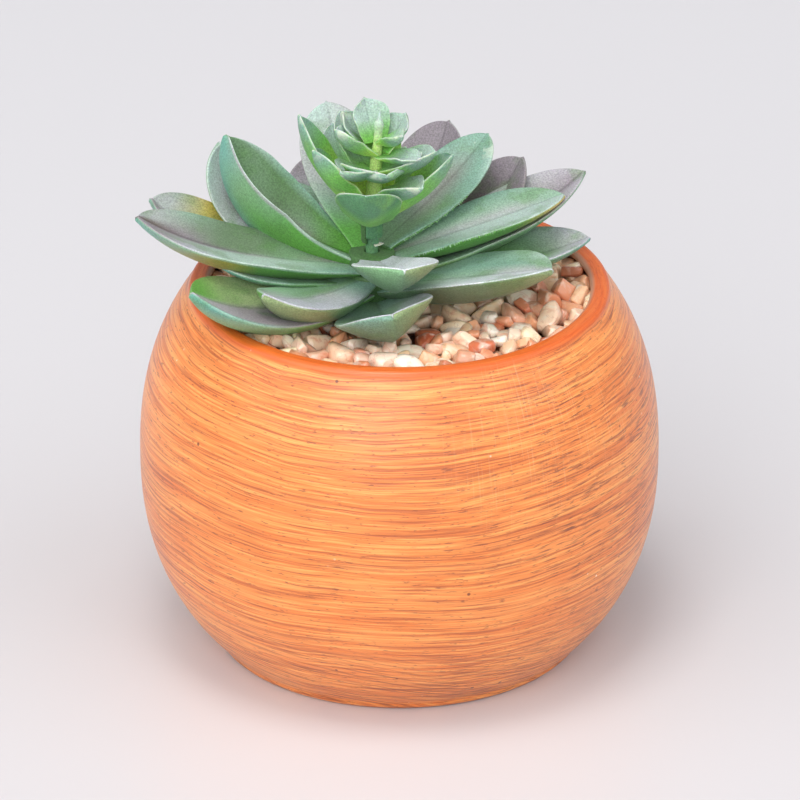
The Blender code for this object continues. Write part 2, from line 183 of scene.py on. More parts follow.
class DustingAndSheen(Enum):
    """The sprays that the leaves were given after moulding, with the sheen on their near halves painted in as
    pale rows.
    """

    MAUVE_STRIPED = SprayAndSheen(
        top={
            -1.0: (T.FERN, T.HERB, T.HERB, T.HERB, T.LEAF),
            -0.15: (T.FERN, T.HERB, T.HERB, T.HERB, T.LEAF),
            0.1: (T.SMOKE, T.SMOKE, T.MAUVE, T.MAUVE, T.LILAC),
            0.9: (T.SMOKE, T.SMOKE, T.MAUVE, T.MAUVE, T.LILAC),
            1.0: (T.SEA, T.MAUVE, T.MAUVE, T.SEA, T.TEAL),
        },
        under={
            -1.0: (T.LEAF,),
            0.0: (T.GRASS, T.MOSS, T.GRASS, T.JADE),
            0.8: (T.GRASS, T.MOSS, T.GRASS, T.JADE, T.TEAL),
            1.0: (T.GRASS, T.GRASS, T.JADE, T.TEAL),
        },
    )
    LAVENDER = SprayAndSheen(
        top={
            -1.0: (T.SEA, T.SEA, T.JADE, T.SAGE),
            -0.2: (T.FERN, T.FERN, T.SAGE, T.SILVER),
            0.05: (T.SEA, T.SILVER, T.LAVENDER, T.LAVENDER),
            1.0: (T.SEA, T.LAVENDER, T.LAVENDER, T.LAVENDER),
        },
        under={
            -1.0: (T.LEAF,),
            0.0: (T.DEEP, T.FERN, T.HERB, T.HERB),
            1.0: (T.FERN, T.FERN, T.HERB, T.HERB),
        },
    )
    FRONT_LAVENDER = SprayAndSheen(
        top={
            -1.0: (T.SEA, T.SAGE, T.SAGE, T.LAVENDER),
            -0.1: (T.FERN, T.SEA, T.SAGE, T.SILVER),
            0.2: (T.SEA, T.SAGE, T.LAVENDER, T.LAVENDER),
            1.0: (T.SEA, T.LAVENDER, T.LAVENDER, T.LAVENDER),
        },
        under={-1.0: (T.DEEP, T.FERN, T.SEA), 0.0: (T.DEEP, T.FERN, T.FERN), 1.0: (T.DEEP, T.HERB, T.HERB)},
    )
    SEA_GREEN = SprayAndSheen(
        top={
            -1.0: (T.ASH, T.SAGE, T.SEA, T.SAGE, T.FROST),
            -0.4: (T.SEA, T.SEA, T.SEA, T.SEA, T.SAGE),
            -0.1: (T.SEA, T.SAGE, T.SAGE, T.SILVER, T.SILVER),
            0.1: (T.SEA, T.FROST, T.FROST, T.PEARL, T.PEARL),
            1.0: (T.SEA, T.FROST, T.PEARL, T.PEARL, T.PEARL),
        },
        under={
            -1.0: (T.GRASS,),
            0.0: (T.DEEP, T.REED, T.FERN, T.HERB),
            1.0: (T.FERN, T.REED, T.FERN, T.HERB),
        },
    )
    DEEP_INSIDE = SprayAndSheen(
        top={
            -1.0: (T.DEEP, T.DEEP, T.FERN, T.SAGE, T.LAVENDER),
            -0.2: (T.DEEP, T.DEEP, T.LEAF, T.FERN, T.SILVER),
            0.3: (T.DEEP, T.LEAF, T.LEAF, T.LEAF, T.LAVENDER),
            0.8: (T.DEEP, T.LEAF, T.LEAF, T.SAGE, T.LAVENDER),
            1.0: (T.DEEP, T.SEA, T.SAGE, T.LAVENDER, T.LAVENDER),
        },
        under={0.0: (T.GRASS, T.GRASS, T.TEAL)},
    )
    DUSKY = SprayAndSheen(top={0.0: (T.DUSK, T.DUSK, T.DUSK, T.MAUVE)}, under={0.0: (T.DUSK, T.MAUVE)})
    PLAIN_GREEN = SprayAndSheen(
        top={-0.3: (T.DEEP, T.FERN, T.SAGE), 0.3: (T.DEEP, T.SEA, T.FROST)},
        under={0.0: (T.GRASS, T.JADE, T.TEAL)},
    )
    OLIVE_ROOT = SprayAndSheen(
        top={
            -1.0: (T.OLIVE, T.OLIVE, T.OLIVE, T.OLIVE, T.OLIVE, T.SILVER),
            0.0: (T.OLIVE, T.OLIVE, T.OLIVE, T.OLIVE, T.HERB, T.SILVER),
            0.3: (T.OLIVE, T.OLIVE, T.OLIVE, T.OLIVE, T.ASH, T.MAUVE),
        },
        under={0.0: (T.MOSS, T.GRASS, T.SAGE, T.SEA, T.SEA)},
    )
    MAUVE = SprayAndSheen(
        top={
            -1.0: (T.SAGE, T.SILVER, T.SILVER, T.SILVER, T.LILAC),
            0.0: (T.FERN, T.SAGE, T.SILVER, T.ASH, T.MAUVE),
            0.5: (T.FERN, T.SAGE, T.SILVER, T.SILVER, T.LILAC),
        },
        under={0.0: (T.MOSS, T.JADE, T.JADE, T.SAGE)},
    )
    ASHEN = SprayAndSheen(
        top={
            -1.0: (T.LEAF, T.FERN, T.SILVER, T.SILVER, T.SILVER),
            0.6: (T.GRASS, T.SAGE, T.SILVER, T.SILVER, T.FROST),
        },
        under={0.0: (T.GRASS, T.JADE, T.SAGE)},
    )
    LILAC = SprayAndSheen(top={0.0: (T.ASH, T.MAUVE, T.MAUVE)}, under={0.0: (T.JADE, T.SAGE, T.SILVER)})
    MAUVE_TIPPED = SprayAndSheen(
        top={
            -1.0: (T.ASH, T.FERN, T.REED, T.REED, T.SAGE, T.SILVER),
            -0.4: (T.FERN, T.FERN, T.REED, T.REED, T.ASH, T.SILVER),
            -0.1: (T.ASH, T.FERN, T.REED, T.REED, T.MAUVE, T.DUSK),
            0.05: (T.SAGE, T.SAGE, T.SILVER, T.SMOKE, T.SMOKE, T.DUSK),
            0.2: (T.SAGE, T.FROST, T.FROST, T.FROST, T.SILVER, T.MAUVE),
            1.0: (T.SEA, T.FROST, T.FROST, T.FROST, T.LAVENDER, T.MAUVE),
        },
        under={
            -1.0: (T.GRASS,),
            0.0: (T.MOSS, T.LEAF, T.LEAF, T.OLIVE, T.OLIVE, T.TEAL),
            0.7: (T.GRASS, T.LEAF, T.LEAF, T.OLIVE, T.HERB, T.TEAL),
            0.97: (T.LEAF, T.LEAF, T.LEAF, T.OLIVE, T.JADE, T.SEA),
            1.0: (T.SEA, T.SEA, T.SAGE, T.SAGE, T.SEA),
        },
    )
    FROSTED = SprayAndSheen(
        top={
            -1.0: (T.FERN, T.SEA, T.SEA, T.SEA, T.SAGE),
            -0.45: (T.SAGE, T.SAGE, T.SAGE, T.SAGE, T.SAGE),
            -0.12: (T.ASH, T.SILVER, T.SILVER, T.SILVER, T.SAGE),
            0.1: (T.SAGE, T.FROST, T.FROST, T.FROST, T.FROST),
            0.8: (T.SAGE, T.SAGE, T.FROST, T.FROST, T.FROST),
            1.0: (T.SEA, T.SEA, T.SAGE, T.FROST, T.FROST),
        },
        under={0.0: (T.LEAF, T.LEAF, T.LEAF, T.OLIVE), 1.0: (T.LEAF, T.LEAF, T.GRASS, T.OLIVE)},
    )
    GREY_GREEN = SprayAndSheen(
        top={
            -1.0: (T.FERN, T.SEA, T.SEA, T.SEA),
            0.0: (T.FERN, T.ASH, T.ASH, T.SEA),
            0.6: (T.FERN, T.FERN, T.SEA, T.SEA),
            1.0: (T.SEA, T.SEA, T.SEA, T.FROST),
        },
        under={0.0: (T.GRASS, T.JADE, T.SAGE)},
        flecked=1.0,
    )
    FOLDED = SprayAndSheen(
        top={
            -1.0: (T.SEA, T.SEA, T.SEA, T.FROST),
            -0.75: (T.LEAF, T.DEEP, T.DEEP, T.FERN),
            -0.3: (T.LEAF, T.FERN, T.DEEP, T.FERN, T.FERN),
            0.0: (T.LEAF, T.SMOKE, T.ASH, T.FERN, T.FERN),
            0.5: (T.SAGE, T.FROST, T.FROST),
        },
        under={
            0.0: (T.GRASS, T.JADE, T.TEAL, T.TEAL),
            0.5: (T.LEAF, T.LEAF, T.GRASS, T.JADE, T.TEAL),
            0.95: (T.LEAF, T.GRASS, T.JADE, T.JADE, T.SEA),
            1.0: (T.FROST, T.LILAC, T.LILAC),
        },
    )
    FRESH = SprayAndSheen(
        top={-0.8: (T.LIME, T.LIME, T.SPRING, T.SEA), 0.8: (T.LIME, T.LIME, T.SPRING, T.SAGE, T.FROST)},
        under={-1.0: (T.LIME, T.SPRING, T.SEA), 0.6: (T.LIME, T.SPRING, T.SPRING, T.SEA)},
        flecked=0.9,
    )
    CREAM_EDGED = SprayAndSheen(
        top={-0.8: (T.SPRING, T.SAGE, T.FROST), 0.8: (T.SPRING, T.FROST, T.FROST)},
        under={-1.0: (T.LIME, T.SPRING, T.SEA), 1.0: (T.LIME, T.SPRING, T.SEA, T.SAGE)},
        flecked=1.0,
    )
    SHIELD = SprayAndSheen(
        top={0.0: (T.LIME, T.SEA, T.FROST)},
        under={0.0: (T.SPRING, T.GRASS, T.GRASS, T.PINE, T.PINE)},
        flecked=0.6,
    )
    TOP_BAND = SprayAndSheen(
        top={0.0: (T.PEARL,)},
        under={-1.0: (T.DEEP, T.PINE, T.JADE), 0.0: (T.DEEP, T.FERN, T.FERN), 1.0: (T.DEEP, T.HERB, T.HERB)},
    )


def eased(low: float, high: float, value: float) -> float:
    """Return 0 below low, 1 above high and a smooth step between them."""
    share = min(1.0, max(0.0, (value - low) / (high - low)))
    return share * share * (3 - 2 * share)


@dataclass(frozen=True)
class Leaf:
    """One boat-shaped leaf: its place on the whorl, its midrib, its section, and its spray with its painted
    sheen.
    """

    heading: float
    length: float
    width: float
    rise: float
    lift: float
    roll: float = 0.0
    sweep: float = 0.0
    fold: float = 10.0
    body: float = 4.4
    root: float = 0.0
    blunt: float = 0.64
    dusting_and_sheen: DustingAndSheen = DustingAndSheen.SEA_GREEN

    def near(self) -> float:
        """Return the near side, the one towards the camera, or the left for a leaf pointing to the front or
        the back: 1 left, -1 right. The pale rows of painted sheen go there.
        """
        across = math.cos(math.radians(self.heading))
        return 1.0 if abs(across) < STRAIGHT_ON else -math.copysign(1.0, across)


D = DustingAndSheen

LOWER_LEAVES = (
    Leaf(216.3, 48.5, 25.6, -0.2, 38, -6.4, -10.8, 8.4, 6.1, -0.3, 0.62, D.MAUVE_STRIPED),
    Leaf(280, 35.6, 24.6, 6, 45, 14.5, -5.5, 13.2, 5.0, -2.4, 0.62, D.FRONT_LAVENDER),
    Leaf(341.8, 43.2, 25.2, 13.4, 15.2, -4.9, -0.3, 9.5, 5.8, 0.4, 0.68, D.SEA_GREEN),
    Leaf(11.7, 50.8, 24.3, 1.2, 20.7, -3.4, 0, 14.6, 3.6, 0.9, 0.67, D.DEEP_INSIDE),
    Leaf(43.3, 50.8, 22.7, 4.3, 59.8, -2.7, -4.8, 18.5, 4.4, 0.5, 0.55, D.DUSKY),
    Leaf(76, 48, 22, 0, 50, body=3.2, root=1, dusting_and_sheen=D.PLAIN_GREEN),
    Leaf(108, 48, 22, 0, 50, body=3.2, root=1, dusting_and_sheen=D.MAUVE_TIPPED),
    Leaf(136, 48, 22, 0, 46, body=3.2, root=1, dusting_and_sheen=D.OLIVE_ROOT),
    Leaf(167, 55.2, 25.0, 3.8, 48.4, -0.7, 1.2, 19, 4.4, 0.3, 0.57, D.OLIVE_ROOT),
    Leaf(234.8, 34.6, 20.8, 1.4, 31.5, 3.7, -20, 1.2, 6.2, 3.0, 0.6, D.LAVENDER),
    Leaf(190, 34, 15, 4, 22, body=2.4, root=2.2, dusting_and_sheen=D.PLAIN_GREEN),
    Leaf(28.8, 57.4, 22.2, 5.1, 38.2, 0.9, -3.4, 20, 3.6, 2.4, 0.70, D.MAUVE),
    Leaf(73, 47.3, 22, 12, 69.7, -4, -22, 12, 4.4, 3, 0.52, D.LILAC),
    Leaf(94, 42, 22, 0, 50, root=2, dusting_and_sheen=D.MAUVE_TIPPED),
    Leaf(124, 42, 22, 0, 40, root=2, dusting_and_sheen=D.PLAIN_GREEN),
    Leaf(143.5, 52.5, 23.5, 1.5, 83, 2, 0, 6, 4.4, 2.4, 0.45, D.ASHEN),
)

UPPER_LEAVES = (
    Leaf(288.6, 28.6, 20.8, 9, 38, -2, -8, 14, 4.5, -0.5, 0.65, D.TOP_BAND),
    Leaf(17.4, 46.3, 20.9, 11.4, 15, -3.2, 0, 11, 4.2, -1.4, 0.68, D.FROSTED),
    Leaf(48.3, 41.7, 16.2, 17.1, 37.9, 7.6, -2.7, 10.8, 4.4, 0.9, 0.64, D.GREY_GREEN),
    Leaf(107.1, 42.3, 19.6, 23.5, 54.9, 0.2, 0, 9.8, 4.4, 0.2, 0.62, D.ASHEN),
    Leaf(156.8, 46.8, 20.6, 8.7, 87.2, 3.5, -10.2, 44.1, 7.1, -2.0, 0.63, D.FOLDED),
    Leaf(184.1, 54.9, 26.7, 5, 33.1, 4.2, -4.3, 10.2, 4.6, -3.2, 0.65, D.MAUVE_TIPPED),
)

HEAD_LEAVES = (
    Leaf(266, 24, 17.5, 24, 68, fold=26, body=1.5, root=0.5, dusting_and_sheen=D.SHIELD),
    Leaf(357, 25, 13, 30, 68, fold=26, body=1.5, root=1, dusting_and_sheen=D.FRESH),
    Leaf(176, 31, 13, 46, 82, fold=26, body=1.5, root=1, blunt=0.9, dusting_and_sheen=D.FRESH),
    Leaf(62, 20, 14, 28, 52, fold=26, body=1.5, root=1, dusting_and_sheen=D.FRESH),
    Leaf(118, 26, 14, 28, 62, fold=26, body=1.5, root=1, dusting_and_sheen=D.FRESH),
    Leaf(198, 21, 12, 36, 72, fold=26, body=1.5, root=5, dusting_and_sheen=D.FRESH),
    Leaf(322, 15, 12, 16, 36, fold=26, body=1.5, root=7, dusting_and_sheen=D.CREAM_EDGED),
    Leaf(85, 22, 13, 36, 64, fold=26, body=1.5, root=5, dusting_and_sheen=D.FRESH),
    Leaf(226, 11.5, 12, 4, 36, fold=22, body=1.5, root=13.5, dusting_and_sheen=D.CREAM_EDGED),
    Leaf(349, 15, 12, 10, 48, fold=22, body=1.5, root=13.5, dusting_and_sheen=D.CREAM_EDGED),
    Leaf(130, 18, 12, 40, 64, fold=26, body=1.5, root=11, dusting_and_sheen=D.CREAM_EDGED),
    Leaf(200, 12, 10, 24, 64, fold=26, body=1.5, root=18, dusting_and_sheen=D.CREAM_EDGED),
    Leaf(328, 11.5, 8, 4, 14, fold=18, body=1.2, root=17.2, dusting_and_sheen=D.CREAM_EDGED),
    Leaf(40, 11, 11, 30, 70, fold=26, body=1.5, root=18, dusting_and_sheen=D.CREAM_EDGED),
    Leaf(150, 12, 10, 30, 70, fold=26, body=1.5, root=18, dusting_and_sheen=D.CREAM_EDGED),
    Leaf(325, 7, 7.5, 16, 40, fold=22, body=1.5, root=21, dusting_and_sheen=D.CREAM_EDGED),
    Leaf(119, 11, 10.5, 50, 78, fold=26, body=1.5, root=20, dusting_and_sheen=D.CREAM_EDGED),
    Leaf(288, 8.5, 22, 0, 46, fold=24, body=1.2, root=13.2, dusting_and_sheen=D.CREAM_EDGED),
)


def add(
    tree: bpy.types.NodeTree,
    kind: str,
    links: dict | None = None,
    stops: tuple = (),
    out: int | str = 0,
    **settings: object,
) -> bpy.types.NodeSocket | None:
    """Add a node, set it and link it.

    Args:
        tree: The tree that the node goes into.
        kind: The node's type.
        links: Input name or place among the live inputs, to a value or to the socket that feeds it.
        stops: (position, hex colour) of a colour ramp.
        out: Name or place of the output that is wanted.
        settings: The node's own properties.

    Returns:
        The output socket, or None for a node without one.
    """
    node = tree.nodes.new(kind)
    for name, value in settings.items():
        setattr(node, name, value)
    if stops:
        ramp = node.color_ramp.elements
        ramp[0].position, ramp[-1].position = stops[0][0], stops[-1][0]
        for position, _ in stops[1:-1]:
            ramp.new(position)
        for element, (_, shade) in zip(ramp, stops):
            element.color = linear(shade)
    live = [socket for socket in node.inputs if socket.enabled]
    for key, value in (links or {}).items():
        socket = live[key] if isinstance(key, int) else next(s for s in live if s.name == key)
        if isinstance(value, bpy.types.NodeSocket):
            tree.links.new(value, socket)
        else:
            socket.default_value = value
    given = [socket for socket in node.outputs if socket.enabled]
    if not given:
        return None
    return given[out] if isinstance(out, int) else next(s for s in given if s.name == out)


def new_material(
    name: str, **sockets: float | tuple[float, ...]
) -> tuple[bpy.types.Material, bpy.types.NodeTree, bpy.types.Node]:
    """Make a material with a Principled shader.

    Args:
        name: The material's name.
        sockets: Constant values by socket name, with spaces as underscores.

    Returns:
        The material, its tree and its shader node.
    """
    material = bpy.data.materials.new(name)
    material.use_nodes = True
    shader = material.node_tree.nodes["Principled BSDF"]
    for socket, value in sockets.items():
        shader.inputs[socket.replace("_", " ")].default_value = value
    return material, material.node_tree, shader


def scale_of(size: float) -> float:
    """Return the scale of a pattern whose marks are so many millimetres wide."""
    return 1 / (size * MM)


@dataclass(frozen=True)
class Layer:
    """A coat over what lies underneath, thickest where its pattern reaches full."""

    pattern: bpy.types.NodeSocket
    start: float
    full: float
    strength: float
    shade: str | bpy.types.NodeSocket
    where: bpy.types.NodeSocket | None = None

    def over(self, tree: bpy.types.NodeTree, colour: bpy.types.NodeSocket | tuple) -> bpy.types.NodeSocket:
        """Lay the coat.

        Args:
            tree: The material's tree.
            colour: What lies underneath.

        Returns:
            The colour with the coat on it.
        """
        mask = {"Value": self.pattern, 1: self.start, 2: self.full, 3: 0.0, 4: self.strength}
        mask = add(tree, "ShaderNodeMapRange", mask)
        if self.where is not None:
            mask = add(tree, "ShaderNodeMath", {0: mask, 1: self.where}, operation="MULTIPLY")
        shade = linear(self.shade) if isinstance(self.shade, str) else self.shade
        return add(tree, "ShaderNodeMix", {0: mask, "A": colour, "B": shade}, data_type="RGBA")


def to_object(
    name: str,
    points: list,
    faces: list,
    material: bpy.types.Material,
    attributes: dict[str, list] | None = None,
    sharp: float = 50.0,
) -> bpy.types.Object:
    """Turn points in millimetres into an object in metres at the origin.

    Args:
        name: The object's name.
        points: Its vertices.
        faces: Lists of vertex numbers, wound so that they face outwards.
        material: Its finish.
        attributes: Values for each vertex; three numbers make a vector attribute.
        sharp: Angle past which an edge isn't shaded smooth.

    Returns:
        The linked object.
    """
    mesh = bpy.data.meshes.new(name)
    mesh.from_pydata([Vector(point) * MM for point in points], [], faces)
    for key, values in (attributes or {}).items():
        flat = np.asarray(values, np.float32)
        kind = "FLOAT_VECTOR" if flat.ndim == 2 else "FLOAT"
        layer = mesh.attributes.new(key, kind, "POINT")
        layer.data.foreach_set("vector" if flat.ndim == 2 else "value", flat.ravel())
    mesh.materials.append(material)
    mesh.shade_smooth()
    mesh.set_sharp_from_angle(angle=math.radians(sharp))
    item = bpy.data.objects.new(name, mesh)
    bpy.context.scene.collection.objects.link(item)
    return item


def settle(item: bpy.types.Object, slot: Slot, *nodes: str) -> None:
    """Put a finished piece on the body, hide the CAD nodes that it stands for and log its slot.

    Args:
        item: The piece.
        slot: The record's material slot.
        nodes: CAD nodes that it replaces.
    """
    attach(item, BODY)
    if nodes:
        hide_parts(*nodes)
    LOG.info("%s: %d faces, slot %s", item.name, len(item.data.polygons), slot.value)


def lathe(profile: Profile, sides: int, centre: tuple[float, float] = (0.0, 0.0)) -> Plain:
    """Turn a profile about an upright axis.

    Args:
        profile: (radius, height) from bottom to top on the outside; a radius of 0 is a pole.
        sides: Number of sides.
        centre: The axis in plan.

    Returns:
        The points and the faces, facing outwards for a profile that runs up on its outside.
    """
    points, faces, rings = [], [], []
    for radius, height in profile:
        first = len(points)
        count = 1 if radius == 0.0 else sides
        for step in range(count):
            turn = math.tau * step / sides
            points.append((centre[0] + radius * math.cos(turn), centre[1] + radius * math.sin(turn), height))
        rings.append((first, count))
    for (low, low_count), (high, high_count) in zip(rings, rings[1:]):
        for step in range(sides):
            after = (step + 1) % sides
            corners = [low + step % low_count, low + after % low_count]
            corners += [high + after % high_count, high + step % high_count]
            faces.append(list(dict.fromkeys(corners)))
    return points, faces


@dataclass(frozen=True)
class BrushedGlaze:
    """Earthenware under a satin orange glaze that was dragged with a dry brush while the pot turned.

    The brush leaves hair-fine light and dark lines along the latitude, brown grain where it ran dry, strokes
    that cross near the foot and a few upright ones on the shoulder. The lip and the inside have no brush
    marks;
    the inside is painted paler and pinker, a painted highlight for the glaze's pale reflection on the inner
    wall.
    A zone gives the heights at which something starts and is at its full.
    """

    ground: tuple[str, str, str] = ("E87E38", "EE883F", "F2924A")
    light_line: str = "FFB362"
    dark_line: str = "A85028"
    grain: str = "80432C"
    upright: str = "FFD0A0"
    lip: str = "DC5B10"
    inside: str = "C8957A"
    speck: str = "5A2C22"
    crawled: str = "FFE9D0"
    centre: float = 47.8
    radius: float = 62.5
    climb: tuple[float, float] = (13.0, 4.0)
    foot_zone: tuple[float, float] = (26.0, 12.0)
    shoulder_zone: tuple[float, float] = (50.0, 66.0)
    lip_zone: tuple[float, float] = (89.7, 90.8)

    def build(self) -> bpy.types.Material:
        """Make the glaze from the brush marks, the specks and the pooled lip.

        Returns:
            The material.
        """
        material, tree, shader = new_material(
            "satin_orange_glaze_on_earthenware", Roughness=0.42, Coat_Weight=0.4, Coat_Roughness=0.25
        )
        foot, shoulder, lip = (
            [height * MM for height in zone] for zone in (self.foot_zone, self.shoulder_zone, self.lip_zone)
        )
        place = add(tree, "ShaderNodeTexCoord", out="Object")
        flat = add(tree, "ShaderNodeVectorMath", {0: place, 1: (1.0, 1.0, 0.0)}, operation="MULTIPLY")
        spread = add(tree, "ShaderNodeVectorMath", {0: flat}, operation="LENGTH", out="Value")
        way = add(tree, "ShaderNodeVectorMath", {0: flat}, operation="NORMALIZE")
        rightness = add(tree, "ShaderNodeSeparateXYZ", {0: way}, out="X")
        z = add(tree, "ShaderNodeSeparateXYZ", {0: place}, out="Z")
        above = add(tree, "ShaderNodeMath", {0: z, 1: self.centre * MM}, operation="SUBTRACT")
        latitude = add(tree, "ShaderNodeMath", {0: above, 1: spread}, operation="ARCTAN2")
        level = add(tree, "ShaderNodeMath", {0: latitude, 1: self.radius * MM}, operation="MULTIPLY")
        # The hand wandered by about 2 mm over 40 mm of stroke, and trembled by 0.3 mm over 10 mm.
        for length, sway in ((41.67, 4.5), (10.0, 0.6)):
            hand = {"Vector": place, "Scale": scale_of(length), "Detail": 0.0}
            hand = add(tree, "ShaderNodeTexNoise", hand)
            level = add(tree, "ShaderNodeMath", {0: hand, 1: sway * MM, 2: level}, operation="MULTIPLY_ADD")
        # The crossing strokes climb as they run to the right.
        lean = {0: way, 1: (self.climb[0] * MM, self.climb[1] * MM, 0.0)}
        lean = add(tree, "ShaderNodeVectorMath", lean, operation="DOT_PRODUCT", out="Value")
        rising = add(tree, "ShaderNodeMath", {0: level, 1: lean}, operation="ADD")

        def stroke(
            at: bpy.types.NodeSocket, length: float, height: float, seed: float
        ) -> bpy.types.NodeSocket:
            """Return brush marks.

            Args:
                at: The level that the marks keep to.
                length: A mark's length in millimetres.
                height: A mark's height in millimetres.
                seed: What sets these marks apart from the others.

            Returns:
                Noise drawn out along the level.
            """
            along = {0: way, "Scale": self.radius * MM * scale_of(length)}
            along = add(tree, "ShaderNodeVectorMath", along, operation="SCALE")
            rise = {0: at, 1: scale_of(height), 2: seed}
            rise = add(tree, "ShaderNodeMath", rise, operation="MULTIPLY_ADD")
            rise = add(tree, "ShaderNodeCombineXYZ", {2: rise})
            vector = add(tree, "ShaderNodeVectorMath", {0: along, 1: rise}, operation="ADD")
            marks = {"Vector": vector, "Scale": 1.0, "Detail": 2.0, "Roughness": 0.6}
            return add(tree, "ShaderNodeTexNoise", marks)

        broad, middle = stroke(level, 45.0, 4.5, 3.0), stroke(level, 38.0, 0.9, 40.0)
        # Bristle lines are about 0.2 mm; they are drawn at 0.5 mm, the least that shows.
        fine, grain = stroke(level, 24.0, 0.5, 90.0), stroke(level, 6.5, 0.5, 150.0)
        crossing, upright = stroke(rising, 22.0, 0.6, 210.0), stroke(level, 0.4, 14.0, 260.0)
        dashes = stroke(level, 2.6, 0.45, 310.0)
        # The brush ran dry towards the right, in patches of about 18 mm.
        patches = add(tree, "ShaderNodeTexNoise", {"Vector": place, "Scale": scale_of(18.18), "Detail": 1.0})
        dry = add(tree, "ShaderNodeMapRange", {"Value": rightness, 1: -0.1, 2: 0.65, 3: 0.12, 4: 1.0})
        clustered = add(tree, "ShaderNodeMapRange", {"Value": patches, 1: 0.38, 2: 0.6, 3: 0.25, 4: 1.0})
        dry = add(tree, "ShaderNodeMath", {0: dry, 1: clustered}, operation="MULTIPLY")
        low = add(tree, "ShaderNodeMapRange", {"Value": z, 1: foot[0], 2: foot[1], 3: 0.0, 4: 1.0})
        high = add(tree, "ShaderNodeMapRange", {"Value": z, 1: shoulder[0], 2: shoulder[1], 3: 0.0, 4: 1.0})
        right = add(tree, "ShaderNodeMapRange", {"Value": rightness, 1: 0.1, 2: 0.35, 3: 0.0, 4: 1.0})
        high_right = add(tree, "ShaderNodeMath", {0: right, 1: high}, operation="MULTIPLY")
        layers = [
            Layer(middle, 0.53, 0.70, 0.45, self.light_line),
            Layer(middle, 0.46, 0.32, 0.45, self.dark_line),
            Layer(fine, 0.54, 0.68, 0.70, self.light_line),
            Layer(fine, 0.47, 0.34, 0.70, self.dark_line),
            Layer(grain, 0.47, 0.34, 0.80, self.grain, dry),
            Layer(crossing, 0.48, 0.36, 0.60, self.grain, low),
            Layer(crossing, 0.54, 0.68, 0.50, self.light_line, low),
            Layer(dashes, 0.38, 0.31, 0.65, self.grain),
            Layer(upright, 0.56, 0.70, 0.16, self.upright, high_right),
        ]
        # Pin specks of the clay, about 0.8 mm, with a few where the glaze crawled off pale.
        for apart, least, shade in ((6.667, 0.52, self.speck), (4.348, 0.68, self.crawled)):
            dots = {"Vector": place, "Scale": scale_of(apart)}
            dots = add(tree, "ShaderNodeTexVoronoi", dots, out="Distance")
            chance = {"Vector": place, "Scale": scale_of(3 * apart), "Detail": 0.0}
            chance = add(tree, "ShaderNodeTexNoise", chance)
            chance = {"Value": chance, 1: least, 2: least + 0.04, 3: 0.0, 4: 1.0}
            chance = add(tree, "ShaderNodeMapRange", chance)
            layers.append(Layer(dots, 0.08, 0.05, 0.8, shade, chance))
        # The glaze pooled on the lip. Where the wall faces in, it is painted paler and pinker: a painted
        # highlight for the glaze's pale reflection on the inner wall.
        facing = add(tree, "ShaderNodeNewGeometry", out="Normal")
        inward = add(tree, "ShaderNodeVectorMath", {0: facing, 1: way}, operation="DOT_PRODUCT", out="Value")
        layers.append(Layer(z, lip[0], lip[1], 0.75, self.lip))
        layers.append(Layer(inward, -0.25, -0.7, 0.9, self.inside))
        stops = tuple(zip((0.36, 0.5, 0.64), self.ground))
        colour = add(tree, "ShaderNodeValToRGB", {0: broad}, stops=stops)
        for layer in layers:
            colour = layer.over(tree, colour)
        tree.links.new(colour, shader.inputs["Base Color"])
        relief = add(tree, "ShaderNodeMath", {0: fine, 1: middle}, operation="ADD")
        relief = add(tree, "ShaderNodeMath", {0: grain, 1: 0.7, 2: relief}, operation="MULTIPLY_ADD")
        bump = add(tree, "ShaderNodeBump", {"Strength": 0.45, "Distance": 0.4 * MM, "Height": relief})
        tree.links.new(bump, shader.inputs["Normal"])
        return material


